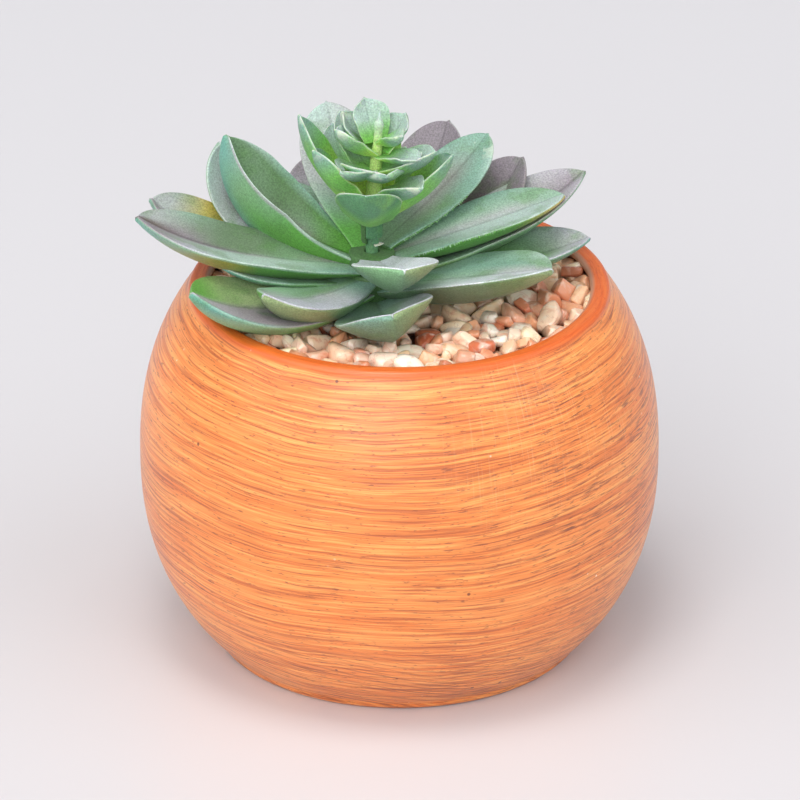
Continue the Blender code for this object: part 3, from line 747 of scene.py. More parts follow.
@dataclass(frozen=True)
class FrostedLeafPlastic:
    """Injection-moulded polyethylene: satin, a little translucent, dusted with lacquer after moulding.

    The dust lies in clouds of fine droplets, lets the green show where it is thin, and is worn off along the
    rims, where the plastic shows as a brown line; the pale line along the rims is partly worn edge and partly
    a painted highlight, where light catches the rounded rim.
    """

    name: str
    bare: str = "5E8F46"
    thin: float = 0.35
    rim: str = "CFD8C8"
    rim_brown: str = "6B5A48"
    rim_from: float = 0.98
    rim_strength: float = 0.2
    browned: float = 0.52
    flecks: float = 0.0
    speck: str = "2B352A"
    roughness: float = 0.46
    translucency: float = 0.1

    def build(self) -> bpy.types.Material:
        """Make the plastic from the leaf's own mould and tint attributes.

        Returns:
            The material.
        """
        material, tree, shader = new_material(
            self.name,
            Roughness=self.roughness,
            Specular_IOR_Level=0.35,
            Sheen_Weight=0.06,
            Sheen_Roughness=0.4,
            Subsurface_Weight=self.translucency,
            Subsurface_Radius=(0.4, 1.0, 0.2),
            Subsurface_Scale=1.5 * MM,
        )
        place = add(tree, "ShaderNodeTexCoord", out="Object")
        mould = add(tree, "ShaderNodeAttribute", out="Vector", attribute_name="mould")
        along, across, face = (add(tree, "ShaderNodeSeparateXYZ", {0: mould}, out=axis) for axis in "XYZ")
        colour = add(tree, "ShaderNodeAttribute", out="Color", attribute_name="tint")
        # The dust lies in clouds of about 9 mm.
        cloud = add(tree, "ShaderNodeTexNoise", {"Vector": place, "Scale": scale_of(9.091), "Detail": 3.0})
        # The lacquer's droplets are about 0.2 mm; they are drawn at 0.4 mm, the least that shows.
        droplets = add(tree, "ShaderNodeTexNoise", {"Vector": place, "Scale": scale_of(0.4), "Detail": 1.0})
        colour = Layer(cloud, 0.46, 0.34, self.thin, self.bare).over(tree, colour)
        dust_and_crease_shade = add(tree, "ShaderNodeMapRange", {"Value": droplets, 1: 0.32, 2: 0.68, 3: 0.77, 4: 1.18})
        dust_and_crease_shade = add(tree, "ShaderNodeMath", {0: cloud, 1: 0.35, 2: dust_and_crease_shade}, operation="MULTIPLY_ADD")
        dust_and_crease_shade = add(tree, "ShaderNodeMath", {0: dust_and_crease_shade, 1: 0.175}, operation="SUBTRACT")
        # Painted shade: the upper face is darkened at the crease, down to 78 parts in a hundred, within 7
        # parts in a hundred of the half width to either side.
        painted_crease_shade = add(tree, "ShaderNodeMath", {0: across, 1: 0.07}, operation="DIVIDE")
        painted_crease_shade = add(tree, "ShaderNodeMath", {0: painted_crease_shade, 1: 2.0}, operation="POWER")
        painted_crease_shade = add(tree, "ShaderNodeMapRange", {"Value": painted_crease_shade, 1: 0.0, 2: 1.0, 3: 0.78, 4: 1.0})
        painted_crease_shade = add(tree, "ShaderNodeMix", {0: face, "A": 1.0, "B": painted_crease_shade}, data_type="FLOAT")
        dust_and_crease_shade = add(tree, "ShaderNodeMath", {0: dust_and_crease_shade, 1: painted_crease_shade}, operation="MULTIPLY")
        colour = add(tree, "ShaderNodeVectorMath", {0: colour, "Scale": dust_and_crease_shade}, operation="SCALE")
        offset = add(tree, "ShaderNodeMath", {0: across}, operation="ABSOLUTE")
        ragged = add(tree, "ShaderNodeMapRange", {"Value": cloud, 1: 0.36, 2: 0.5, 3: 0.35, 4: 1.0})
        # The rim line is brown where the edge browned and pale elsewhere; the pale is partly a painted
        # highlight of light on the rounded rim.
        edge = Layer(cloud, self.browned, self.browned + 0.1, 1.0, self.rim_brown)
        edge = edge.over(tree, linear(self.rim))
        # Cream flecks of 2 to 4 mm, where the dust built up on the tips.
        flecks = add(tree, "ShaderNodeTexNoise", {"Vector": place, "Scale": scale_of(3.03), "Detail": 2.0})
        tipwards = add(tree, "ShaderNodeMapRange", {"Value": along, 1: 0.78, 2: 0.97, 3: 0.0, 4: 1.0})
        # Dark specks of 0.5 mm, 6 mm apart where there are any.
        dots = add(tree, "ShaderNodeTexVoronoi", {"Vector": place, "Scale": scale_of(5.882)}, out="Distance")
        chance = add(tree, "ShaderNodeMapRange", {"Value": cloud, 1: 0.62, 2: 0.66, 3: 0.0, 4: 1.0})
        layers = (
            Layer(offset, self.rim_from, 0.99, self.rim_strength, edge, ragged),
            Layer(flecks, 0.55, 0.62, self.flecks, self.rim, tipwards),
            Layer(dots, 0.075, 0.045, 0.8, self.speck, chance),
        )
        for layer in layers:
            colour = layer.over(tree, colour)
        tree.links.new(colour, shader.inputs["Base Color"])
        relief = add(tree, "ShaderNodeMath", {0: cloud, 1: 3.0, 2: droplets}, operation="MULTIPLY_ADD")
        bump = add(tree, "ShaderNodeBump", {"Strength": 0.35, "Distance": 0.25 * MM, "Height": relief})
        tree.links.new(bump, shader.inputs["Normal"])
        return material


@dataclass(frozen=True)
class TumbledStone:
    """Marble and jasper chippings, tumbled and washed: waxy and a little translucent, each of its own colour.

    Pale clouds, rust stains and hair veins run through them, and those that lie low in the heap are painted
    darker, as painted shade in the gaps.
    """

    tones: tuple[str, ...] = (
        *("FFE8C6", "FCC79E", "FFF4E4", "F4AA80", "FFDDB4", "DC7A54"),
        *("FFE8D0", "F7B488", "B95C3E", "FDE2BC", "F4ECDC", "EBA27C"),
    )
    pale: str = "FBF0E2"
    rust: str = "D9865C"
    vein: str = "C07A5C"
    gap_shade: str = "6E3E2C"
    gap_shade_zone: tuple[float, float] = (87.4, 84.8)

    def build(self) -> bpy.types.Material:
        """Make the stone: each takes its colour from its tone.

        Returns:
            The material.
        """
        material, tree, shader = new_material(
            "washed_marble_chippings",
            Roughness=0.28,
            Coat_Weight=0.45,
            Coat_Roughness=0.22,
            Subsurface_Weight=0.2,
            Subsurface_Radius=(1.0, 0.6, 0.4),
            Subsurface_Scale=1.2 * MM,
        )
        place = add(tree, "ShaderNodeTexCoord", out="Object")
        tone = add(tree, "ShaderNodeAttribute", out="Fac", attribute_name="tone")
        # Each stone reads the patterns at a place of its own.
        shift = add(tree, "ShaderNodeCombineXYZ", {0: tone, 1: tone, 2: tone})
        own = {0: shift, 1: (7.0, 3.0, 5.0), 2: place}
        own = add(tree, "ShaderNodeVectorMath", own, operation="MULTIPLY_ADD")
        stops = tuple((at / len(self.tones), shade) for at, shade in enumerate(self.tones))
        colour = add(tree, "ShaderNodeValToRGB", {0: tone}, stops=stops)
        # Clouds of about 4 mm and veins about 7 mm apart.
        mottle = {"Vector": own, "Scale": scale_of(3.5714), "Detail": 4.0, "Distortion": 0.6}
        mottle = add(tree, "ShaderNodeTexNoise", mottle)
        vein = {"Vector": own, "Scale": scale_of(6.6667), "Detail": 2.0, "Distortion": 2.0}
        vein = add(tree, "ShaderNodeTexNoise", vein)
        vein = add(tree, "ShaderNodeMath", {0: vein, 1: 0.5}, operation="SUBTRACT")
        vein = add(tree, "ShaderNodeMath", {0: vein}, operation="ABSOLUTE")
        depth = add(tree, "ShaderNodeSeparateXYZ", {0: place}, out="Z")
        layers = (
            Layer(mottle, 0.54, 0.70, 0.6, self.pale),
            Layer(mottle, 0.46, 0.32, 0.55, self.rust),
            Layer(vein, 0.016, 0.004, 0.3, self.vein),
            # Painted shade: the stones are darker the lower they lie, for the shade in the gaps between them.
            Layer(depth, self.gap_shade_zone[0] * MM, self.gap_shade_zone[1] * MM, 0.85, self.gap_shade),
        )
        for layer in layers:
            colour = layer.over(tree, colour)
        tree.links.new(colour, shader.inputs["Base Color"])
        bump = add(tree, "ShaderNodeBump", {"Strength": 0.3, "Distance": 0.4 * MM, "Height": mottle})
        tree.links.new(bump, shader.inputs["Normal"])
        return material


@dataclass(frozen=True)
class CutFoam:
    """Polystyrene foam cut with a hot wire: matte, off-white, with closed cells of 2 to 3 mm."""

    cell: str = "E4E2DA"
    cell_wall: str = "C9C6BC"

    def build(self) -> bpy.types.Material:
        """Make the foam from its cells, in its colour and its relief.

        Returns:
            The material.
        """
        material, tree, shader = new_material("cut_polystyrene_foam", Roughness=0.85)
        place = add(tree, "ShaderNodeTexCoord", out="Object")
        cells = add(tree, "ShaderNodeTexVoronoi", {"Vector": place, "Scale": scale_of(2.5)}, out="Distance")
        colour = add(tree, "ShaderNodeValToRGB", {0: cells}, stops=((0.2, self.cell), (0.8, self.cell_wall)))
        tree.links.new(colour, shader.inputs["Base Color"])
        bump = add(tree, "ShaderNodeBump", {"Strength": 0.4, "Distance": 0.6 * MM, "Height": cells})
        tree.links.new(bump, shader.inputs["Normal"])
        return material


class Station(NamedTuple):
    """One station on a midrib: its share of the length, its point and its three directions."""

    share: float
    point: Vector
    forward: Vector
    left: Vector
    up: Vector


@dataclass(frozen=True)
class LeafForm:
    """The rule that all the leaves share: outline, thickness, section and how fine the mesh is."""

    columns: tuple[float, ...]
    stations: int
    spine: float
    neck: float = 0.40
    neck_power: float = 1.3
    widest: float = 0.60
    tip_power: float = 2.5
    tip_half_width: float = 0.45
    root_body: float = 0.45
    full_body_at: float = 0.5
    tip_thinning: float = 0.85
    edge: float = 0.7
    bead: float = 0.4
    bead_depth: float = 0.96
    keel_power: float = 1.7
    soft: float = 0.04
    ridge: float = 0.22
    ridge_width: float = 0.05
    root_fold: float = 0.35
    fold_rate: float = 1.6
    roll_rate: float = 3.0
    waviness: float = 0.02
    waves: tuple[float, float] = (7.0, 3.0)
    unevenness: float = 0.16
    dents: tuple[float, float] = (5.0, 1.7)
    dents_seed: float = 9.0

    def half_width(self, leaf: Leaf, share: float) -> float:
        """Follow the outline.

        Args:
            leaf: The leaf.
            share: Share of the length.

        Returns:
            The blade's half width there.
        """
        full = leaf.width / 2
        if share < self.widest:
            swell = math.sin(math.pi / 2 * share / self.widest) ** self.neck_power
            return full * (self.neck + (1 - self.neck) * swell)
        beyond = (share - self.widest) / (1 - self.widest)
        return max(full * (1 - beyond**self.tip_power) ** leaf.blunt, self.tip_half_width)

    def fullness(self, share: float) -> float:
        """Return how much of the leaf's full thickness it has at a share of its length."""
        swell = math.sin(math.pi / 2 * min(1.0, share / self.full_body_at))
        return (self.root_body + (1 - self.root_body) * swell) * (1 - self.tip_thinning * share**4)

    def direction(self, leaf: Leaf, share: float) -> Vector:
        """Say which way the midrib runs.

        Args:
            leaf: The leaf.
            share: Share of the length.

        Returns:
            Its direction there.
        """
        slope = math.radians(leaf.rise + (leaf.lift - leaf.rise) * share**2)
        heading = math.radians(leaf.heading + leaf.sweep * share)
        level = math.cos(slope)
        return Vector((math.cos(heading) * level, math.sin(heading) * level, math.sin(slope)))

    def frames(self, leaf: Leaf) -> list[Station]:
        """Follow the midrib.

        Args:
            leaf: The leaf.

        Returns:
            The stations from the root to the tip, closer together towards the tip.
        """
        rows = []
        point = Vector((0.0, 0.0, 0.0))
        before = 0.0
        for step in range(self.stations + 1):
            share = math.sin(math.pi / 2 * step / self.stations)
            ahead = self.direction(leaf, (share + before) / 2)
            point = point + ahead * (leaf.length - self.spine) * (share - before)
            forward = self.direction(leaf, share)
            heading = math.radians(leaf.heading + leaf.sweep * share)
            roll = Matrix.Rotation(math.radians(leaf.roll) * min(1.0, share * self.roll_rate), 3, forward)
            left = roll @ Vector((-math.sin(heading), math.cos(heading), 0.0))
            rows.append(Station(share, point, forward, left, forward.cross(left)))
            before = share
        return rows

    def section(self, leaf: Leaf, row: Station, seed: float) -> tuple[list[Vector], list[Vector]]:
        """Make the upper and the under points of one station, from the right edge to the left.

        Args:
            leaf: The leaf.
            row: The station.
            seed: Where this leaf reads the unevenness.

        Returns:
            Upper points and under points, each one per column.
        """
        share, point, _, left, up = row
        fold = math.radians(leaf.fold) * min(1.0, self.root_fold + self.fold_rate * share)
        body = leaf.body * self.fullness(share)
        upper, under = [], []
        for u in self.columns:
            # The crease is rounded off, so that it isn't a knife's edge.
            away = (math.sqrt(u * u + self.soft**2) - self.soft) / (math.sqrt(1 + self.soft**2) - self.soft)
            wave = Vector((share * self.waves[0], math.copysign(1.0, u) * self.waves[1], seed))
            wave = noise.noise(wave) * self.waviness * min(1.0, 4 * share)
            half = self.half_width(leaf, share) * (1 + wave)
            dent = Vector((share * self.dents[0], u * self.dents[1], seed + self.dents_seed))
            dent = noise.noise(dent) * self.unevenness * abs(u)
            spot = point + left * (half * u * math.cos(fold)) + up * (half * away * math.sin(fold) + dent)
            # The rim is a rounded bead, kept a little open so that it has no sharp edge.
            inside = max(0.0, 1 - half * (1 - abs(u)) / self.bead)
            bead = self.edge / 2 * (1 - math.sqrt(max(0.0, 1 - inside**2))) * self.bead_depth
            depth = self.edge + body * (1 - away**self.keel_power)
            depth += self.ridge * math.exp(-((u / self.ridge_width) ** 2)) * math.sin(math.pi * share)
            upper.append(spot - up * bead)
            under.append(spot - up * (depth - bead))
        return upper, under

    def mesh(self, leaf: Leaf, root: Vector, seed: float) -> Dressed:
        """Make one leaf.

        Args:
            leaf: The leaf.
            root: Where its midrib starts.
            seed: Where it reads the unevenness.

        Returns:
            Points, faces and the attributes mould and tint.
        """
        count = len(self.columns)
        points, mould, tint = [], [], []
        spray_and_sheen, near = leaf.dusting_and_sheen.value, leaf.near()
        rows = self.frames(leaf)
        for row in rows:
            upper, under = self.section(leaf, row, seed)
            points += [root + spot for spot in upper + under[::-1]]
            for top, columns in ((True, self.columns), (False, self.columns[::-1])):
                mould += [(row.share * spray_and_sheen.flecked, u, float(top)) for u in columns]
                # The near rim takes the pale rows of the tint: painted sheen on the camera's side.
                tint += list(spray_and_sheen.across(row.share, np.array(columns) * near, top))
        around = 2 * count
        faces = []
        for step in range(self.stations):
            low, high = step * around, (step + 1) * around
            for at in range(around):
                after = (at + 1) % around
                faces.append([low + after, low + at, high + at, high + after])
        # The tip closes on one point, which counts as rim, and the root is capped.
        last = self.stations * around
        tip = len(points)
        middle = (points[last + count // 2] + points[last + around - 1 - count // 2]) / 2
        points.append(middle + rows[-1].forward * self.spine)
        mould.append((1.0, 0.99, 0.5))
        tint.append(tint[last + count // 2])
        faces += [[last + (at + 1) % around, last + at, tip] for at in range(around)]
        faces.append(list(range(around)))
        return points, faces, {"mould": mould, "tint": tint}


def mirrored(half: tuple[float, ...]) -> tuple[float, ...]:
    """Return the columns from rim to rim, given those from the crease to one rim."""
    return (*[-u for u in reversed(half)], 0.0, *half)


BIG_FORM = LeafForm(
    columns=mirrored((0.05, 0.14, 0.27, 0.42, 0.58, 0.73, 0.86, 0.95, 0.988, 1.0)), stations=44, spine=0.5
)
SMALL_FORM = LeafForm(
    columns=mirrored((0.07, 0.25, 0.5, 0.74, 0.92, 0.98, 1.0)),
    stations=26,
    spine=0.4,
    neck=0.62,
    edge=0.5,
    bead=0.3,
    soft=0.3,
    keel_power=1.9,
    ridge=0.0,
    unevenness=0.5,
)


def gather(pieces: list[Dressed]) -> Dressed:
    """Join meshes into one.

    Args:
        pieces: Points, faces and attributes of each.

    Returns:
        Points, faces and attributes of them all.
    """
    points, faces, values = [], [], {}
    for piece_points, piece_faces, piece_values in pieces:
        first = len(points)
        points += piece_points
        faces += [[first + at for at in face] for face in piece_faces]
        for key, numbers in piece_values.items():
            values.setdefault(key, []).extend(numbers)
    return points, faces, values


def coated(points: list, faces: list, tint: Tint) -> Dressed:
    """Give a plain piece the leaf plastic's attributes, in one tint all over."""
    count = len(points)
    return points, faces, {"mould": [(0.5, 0.5, 1.0)] * count, "tint": [linear(tint.value)[:3]] * count}


def shell(profile: Profile, turn: tuple[float, float], centre: tuple[float, float]) -> Plain:
    """Sweep a closed profile about an upright axis, through part of a turn, and cap its ends.

    Args:
        profile: (radius, height) round the profile, anticlockwise with the radius to the right.
        turn: Headings of the first end and of the last one, past the first.
        centre: The axis in plan.

    Returns:
        The points and the faces.
    """
    start, end = turn
    steps = max(2, round((end - start) / SWEEP_STEP))
    points, faces = [], []
    for step in range(steps + 1):
        heading = math.radians(start + (end - start) * step / steps)
        way = (math.cos(heading), math.sin(heading))
        points += [(centre[0] + r * way[0], centre[1] + r * way[1], h) for r, h in profile]
    count = len(profile)
    for step in range(steps):
        for at in range(count):
            after = (at + 1) % count
            low, high = step * count, (step + 1) * count
            faces.append([low + at, high + at, high + after, low + after])
    faces += [list(range(count)), list(range(steps * count, (steps + 1) * count))[::-1]]
    return points, faces


def outwards(heading: float) -> Vector:
    """Return the level direction of a heading."""
    return Vector((math.cos(math.radians(heading)), math.sin(math.radians(heading)), 0.0))


@dataclass(frozen=True)
class Whorl:
    """A ring of leaves on its hub."""

    name: str
    leaves: tuple[Leaf, ...]
    hub: tuple[float, float]
    level: float
    slot: Slot
    node: str
    centre: tuple[float, float] = PLANT_AXIS
    bore: float = ROD_BORE
    hub_radius: float = 5.5
    hub_rounding: float = 0.5
    hub_sides: int = 40
    root_radius: float = 3.0
    seed_step: float = 3.7

    def root(self, leaf: Leaf) -> Vector:
        """Return where a leaf's midrib starts."""
        return Vector((*self.centre, self.level + leaf.root)) + outwards(leaf.heading) * self.root_radius

    def seed(self, number: int) -> float:
        """Return where a leaf of this whorl reads the unevenness."""
        return number * self.seed_step + self.level

    def build(self, material: bpy.types.Material) -> None:
        """Make the ring as one piece and settle it.

        Args:
            material: The leaf plastic.
        """
        low, high = self.hub
        soft = self.hub_rounding
        profile = [(self.bore, low), (self.hub_radius - soft, low), (self.hub_radius, low + soft)]
        profile += [(self.hub_radius, high - soft), (self.hub_radius - soft, high), (self.bore, high)]
        profile.append((self.bore, low))
        pieces = [coated(*lathe(profile, self.hub_sides, self.centre), T.DEEP)]
        for number, leaf in enumerate(self.leaves):
            pieces.append(BIG_FORM.mesh(leaf, self.root(leaf), self.seed(number)))
        points, faces, values = gather(pieces)
        settle(to_object(self.name, points, faces, material, values), self.slot, self.node)


@dataclass(frozen=True)
class Head:
    """The head: a slit sleeve, a leaning stalk with rings, tiers of small leaves and a bud.

    A turn gives the headings between which a part of the sleeve runs. The rim is given as steps out from the
    outer radius and up from the foot, and the taper as the stalk's thickness at its foot and what it loses.
    """

    centre: tuple[float, float] = PLANT_AXIS
    bore: float = ROD_BORE
    sleeve_radius: float = 2.65
    sleeve_foot: float = 106.0
    sleeve_top: float = 112.0
    sleeve_turn: tuple[float, float] = (238, 532)
    tongue_foot: float = 104.5
    tongue_set_in: float = 0.1
    tongue_turn: tuple[float, float] = (176, 233)
    rim: Profile = ((-0.5, 0.0), (-0.15, 0.18), (0.0, 0.55))
    lug: Profile = ((1.75, 104.7), (2.35, 104.8), (2.5, 105.2), (2.5, 106.4), (1.75, 106.4))
    lug_turn: tuple[float, float] = (272, 312)
    flake: Profile = ((1.7, 104.35), (3.0, 104.5), (3.05, 104.65), (1.7, 104.75))
    flake_turn: tuple[float, float] = (284, 338)
    stalk_foot: float = 110.0
    stalk_top: float = 135.0
    stalk_radius: float = 1.75
    stalk_taper: tuple[float, float] = (1.4, 1.1)
    stalk_rows: int = 56
    stalk_sides: int = 28
    first_row: float = 0.05
    lean: float = 1.7
    ring_depth: float = 0.13
    ring_spacing: float = 3.1
    leaf_root: float = 110.0
    bud_tip: float = 138.5
    bud_level: float = 134.8
    bud_swell: float = 0.35
    bud_height: float = 1.5
    bud_point: float = 3.2
    finest: float = 0.12
    frosted: tuple[float, float] = (128.0, 138.0)
    first_seed: float = 50.0
    seed_step: float = 2.9

    def stalk_point(self, height: float) -> Vector:
        """Return the stalk's middle at a height."""
        share = max(0.0, (height - self.stalk_foot) / (self.stalk_top - self.stalk_foot))
        return Vector((self.centre[0] + self.lean * share, self.centre[1], height))

    def stalk(self) -> Dressed:
        """Make the stalk, with the rings where the tiers leave it, and the bud.

        Returns:
            Points, faces and the leaf plastic's attributes.
        """
        thick, loss = self.stalk_taper
        profile = [(0.0, self.stalk_foot)]
        for step in range(self.stalk_rows):
            share = step / self.stalk_rows
            height = self.stalk_foot + self.first_row + (self.bud_tip - self.stalk_foot) * share
            ring = math.cos(math.tau * (height - self.stalk_foot) / self.ring_spacing)
            ring = self.ring_depth * ring * (1 - share)
            bud = self.bud_swell * math.exp(-(((height - self.bud_level) / self.bud_height) ** 2))
            radius = self.stalk_radius * (thick - loss * share) + ring + bud
            radius *= min(1.0, (self.bud_tip - height) / self.bud_point)
            profile.append((max(self.finest, radius), height))
        profile.append((0.0, self.bud_tip))
        points, faces = lathe(profile, self.stalk_sides)
        moved = [Vector(point) + self.stalk_point(point[2]) - Vector((0, 0, point[2])) for point in points]
        pith, frost = (np.array(linear(tint.value)[:3]) for tint in (T.PITH, T.FROST))
        shares = [eased(*self.frosted, spot.z) for spot in moved]
        tints = [pith * (1 - share) + frost * share for share in shares]
        return moved, faces, {"mould": [(share, 0.5, 1.0) for share in shares], "tint": tints}

    def ring(self, outer: float, foot: float, turn: tuple[float, float]) -> Plain:
        """Make a part of the sleeve with a rounded lower rim.

        Args:
            outer: Its outer radius.
            foot: The level of its foot.
            turn: The headings between which it runs.

        Returns:
            The points and the faces.
        """
        rim = [(outer + out, foot + up) for out, up in self.rim]
        profile = [(self.bore, foot), *rim, (outer, self.sleeve_top), (self.bore, self.sleeve_top)]
        return shell(profile, turn, self.centre)

    def collar(self) -> list[Dressed]:
        """Make the sleeve that clips over the rod: a split ring, a tongue beside the slit, a lug and flash.

        Returns:
            The four parts with the leaf plastic's attributes.
        """
        tongue_radius = self.sleeve_radius - self.tongue_set_in
        return [
            coated(*self.ring(self.sleeve_radius, self.sleeve_foot, self.sleeve_turn), T.PINE),
            coated(*self.ring(tongue_radius, self.tongue_foot, self.tongue_turn), T.DEEP),
            coated(*shell(self.lug, self.lug_turn, self.centre), T.PINE),
            coated(*shell(self.flake, self.flake_turn, self.centre), T.CREAM),
        ]

    def build(self, material: bpy.types.Material) -> None:
        """Make the head as one piece and settle it.

        Args:
            material: The leaf plastic.
        """
        pieces = [self.stalk(), *self.collar()]
        for number, leaf in enumerate(HEAD_LEAVES):
            out = outwards(leaf.heading) * (self.stalk_radius / 2)
            root = self.stalk_point(self.leaf_root + leaf.root) + out
            pieces.append(SMALL_FORM.mesh(leaf, root, self.first_seed + number * self.seed_step))
        points, faces, values = gather(pieces)
        settle(to_object("head_leaves", points, faces, material, values), Slot.HEAD, "head")


@dataclass(frozen=True)
class Pot:
    """The ball pot: a turned wall with a rounded lip, a rounded foot and a hollow inside.

    The belly is the widest level. The wall draws in below and above it by one power over its own reach.
    """

    radius: float = 62.48
    height: float = 91.6
    belly: float = 47.8
    down: float = 63.3
    up: float = 66.5
    power: float = 2.3
    wall: float = 4.8
    floor: float = 6.0
    lip: float = 1.6
    foot: float = 1.8
    sides: int = 224
    outer_rows: int = 70
    inner_rows: int = 40

    def outer(self, height: float) -> float:
        """Return the outer radius at a height."""
        reach = self.down if height < self.belly else self.up
        return self.radius * math.sqrt(1 - (abs(height - self.belly) / reach) ** self.power)

    def arc(self, radius: float, height: float, size: float, start: int, end: int) -> Profile:
        """Return an arc's points every 10 degrees, from one angle to another."""
        turns = [math.radians(angle) for angle in range(start, end + 1, 10)]
        return [(radius + size * math.cos(turn), height + size * math.sin(turn)) for turn in turns]

    def build(self, material: bpy.types.Material) -> None:
        """Make the pot and settle it.

        Args:
            material: The glaze.
        """
        shoulder = self.height - self.lip
        rise, fall = shoulder - self.foot, shoulder - self.floor
        rise = [self.foot + rise * step / self.outer_rows for step in range(self.outer_rows + 1)]
        fall = [shoulder - fall * step / self.inner_rows for step in range(self.inner_rows + 1)]
        profile = [(0.0, 0.0)]
        profile += self.arc(self.outer(self.foot) - self.foot, self.foot, self.foot, -90, -20)
        profile += [(self.outer(level), level) for level in rise]
        profile += self.arc(self.outer(shoulder) - self.lip, shoulder, self.lip, 20, 90)
        profile += self.arc(self.outer(shoulder) - self.wall + self.lip, shoulder, self.lip, 90, 160)
        profile += [(self.outer(level) - self.wall, level) for level in fall]
        profile.append((0.0, self.floor))
        points, faces = lathe(profile, self.sides)
        settle(to_object("pot_wall", points, faces, material), Slot.GLAZE, "pot")


@dataclass(frozen=True)
class Gravel:
    """The gravel: a bed, and chippings dropped on it one by one where they lie lowest.

    The first of them, up to the number large, are full size, and the rest are smaller by the ratio small.
    Half the length, width and thickness of each are drawn between two sizes. It sinks between its neighbours
    until just the share clear of its underside is free of them. It is left out where it would stand above the
    top, which is lower in the middle and rises towards the wall. Each kind is a block whose corners are cut
    off and whose edges are worn round.
    """

    reach: float = 47.6
    margin: float = 6.0
    inset: float = 0.8
    bed_level: float = 83.6
    bed: Profile = ((0.0, 81.6), (49.0, 81.6), (49.3, 82.6), (48.6, 83.5), (0.0, 83.2))
    bed_sides: int = 96
    bed_tone: float = 0.7
    top: tuple[float, float] = (88.4, 91.0)
    rising: tuple[float, float] = (20.0, 40.0)
    count: int = 1300
    large: int = 680
    small: float = 0.6
    clear: float = 0.9
    tilt: tuple[float, float] = (0.55, 0.4)
    tries: int = 14
    cell: float = 0.5
    seed: int = 23
    long: tuple[float, float] = (2.9, 4.9)
    wide: tuple[float, float] = (2.0, 3.0)
    thick: tuple[float, float] = (1.7, 2.6)
    kinds: int = 14
    cuts: tuple[int, int] = (5, 7)
    cut_at: tuple[float, float] = (0.85, 1.2)
    worn: float = 0.3
    weld: float = 0.01
    filling: float = 0.97
    crisp: float = 42.0

    def heap(self) -> dict[str, list]:
        """Drop the stones.

        Returns:
            Their places, turns, half sizes, kinds and tones.
        """
        draw = random.Random(self.seed)
        edge = self.reach + self.margin
        span = int(2 * edge / self.cell)
        ground = np.full((span, span), self.bed_level)
        axis = (np.arange(span) + 0.5) * self.cell - edge
        stones = {"place": [], "turn": [], "half": [], "kind": [], "tone": []}
        for number in range(self.count):
            half = np.array([draw.uniform(*sizes) for sizes in (self.long, self.wide, self.thick)])
            half *= 1.0 if number < self.large else self.small
            tilt = [draw.gauss(0, spread) for spread in self.tilt]
            turn = Euler((*tilt, draw.uniform(0, math.tau)))
            spin = np.array(turn.to_matrix())
            # Each stone is dropped as an ellipsoid, at the lowest of a few places.
            ball = spin @ np.diag(1 / half**2) @ spin.T
            best = None
            for _ in range(self.tries):
                spread = (self.reach - self.inset * half[0]) * math.sqrt(draw.random())
                heading = draw.uniform(0, math.tau)
                x, y = spread * math.cos(heading), spread * math.sin(heading)
                patch = np.ix_(np.abs(axis - x) < half[0], np.abs(axis - y) < half[0])
                dx, dy = axis[patch[0]] - x, axis[patch[1]] - y
                tilted = ball[0, 2] * dx + ball[1, 2] * dy
                plan = ball[0, 0] * dx**2 + 2 * ball[0, 1] * dx * dy + ball[1, 1] * dy**2 - 1
                inside = tilted**2 - ball[2, 2] * plan
                root = np.sqrt(np.maximum(inside, 0))
                low, high = (-tilted - root) / ball[2, 2], (-tilted + root) / ball[2, 2]
                rest = float(np.quantile((ground[patch] - low)[inside > 0], self.clear))
                if best is None or rest < best[0]:
                    best = (rest, x, y, patch, inside > 0, high)
            rest, x, y, patch, hit, high = best
            limit = self.top[0] + (self.top[1] - self.top[0]) * eased(*self.rising, math.hypot(x, y))
            if rest + float(high.max()) > limit:
                continue
            ground[patch] = np.where(hit, np.maximum(ground[patch], rest + high), ground[patch])
            stone = ((x, y, rest), tuple(turn), tuple(half), draw.randrange(self.kinds))
            for key, value in zip(stones, stone):
                stones[key].append(value)
            stones["tone"].append(draw.random())
        mean_top = float(ground[ground > self.bed_level].mean())
        LOG.info("gravel: %d stones, mean top %.2f mm", len(stones["place"]), mean_top)
        return stones

    def chipping(self, draw: random.Random, number: int) -> bpy.types.Object:
        """Make one kind of stone: a block with its corners broken off and its edges worn round.

        Args:
            draw: Seeded draws.
            number: Which kind it is.

        Returns:
            The stone, one unit from its middle to each side.
        """
        body = bmesh.new()
        bmesh.ops.create_cube(body, size=2.0)
        for _ in range(draw.randint(*self.cuts)):
            way = Vector((draw.gauss(0, 1), draw.gauss(0, 1), draw.gauss(0, 1))).normalized()
            everything = [*body.verts, *body.edges, *body.faces]
            reach = way * draw.uniform(*self.cut_at)
            bmesh.ops.bisect_plane(body, geom=everything, plane_co=reach, plane_no=way, clear_outer=True)
            bmesh.ops.holes_fill(body, edges=[edge for edge in body.edges if edge.is_boundary], sides=0)
        bmesh.ops.remove_doubles(body, verts=body.verts[:], dist=self.worn)
        bmesh.ops.bevel(
            body,
            geom=body.edges[:],
            offset=self.worn,
            segments=1,
            profile=0.5,
            affect="EDGES",
            clamp_overlap=True,
        )
        # A clamped bevel leaves faces of no width, which are welded shut.
        bmesh.ops.remove_doubles(body, verts=body.verts[:], dist=self.weld)
        bmesh.ops.recalc_face_normals(body, faces=body.faces[:])
        body.verts.index_update()
        spots = [spot.co.copy() for spot in body.verts]
        size = [max(abs(spot[axis]) for spot in spots) for axis in range(3)]
        fitted = [[spot[axis] / size[axis] * self.filling for axis in range(3)] for spot in spots]
        faces = [[spot.index for spot in face.verts] for face in body.faces]
        body.free()
        mesh = bpy.data.meshes.new(f"chipping_{number:02d}")
        mesh.from_pydata(fitted, [], faces)
        mesh.shade_smooth()
        mesh.set_sharp_from_angle(angle=math.radians(self.crisp))
        return bpy.data.objects.new(mesh.name, mesh)

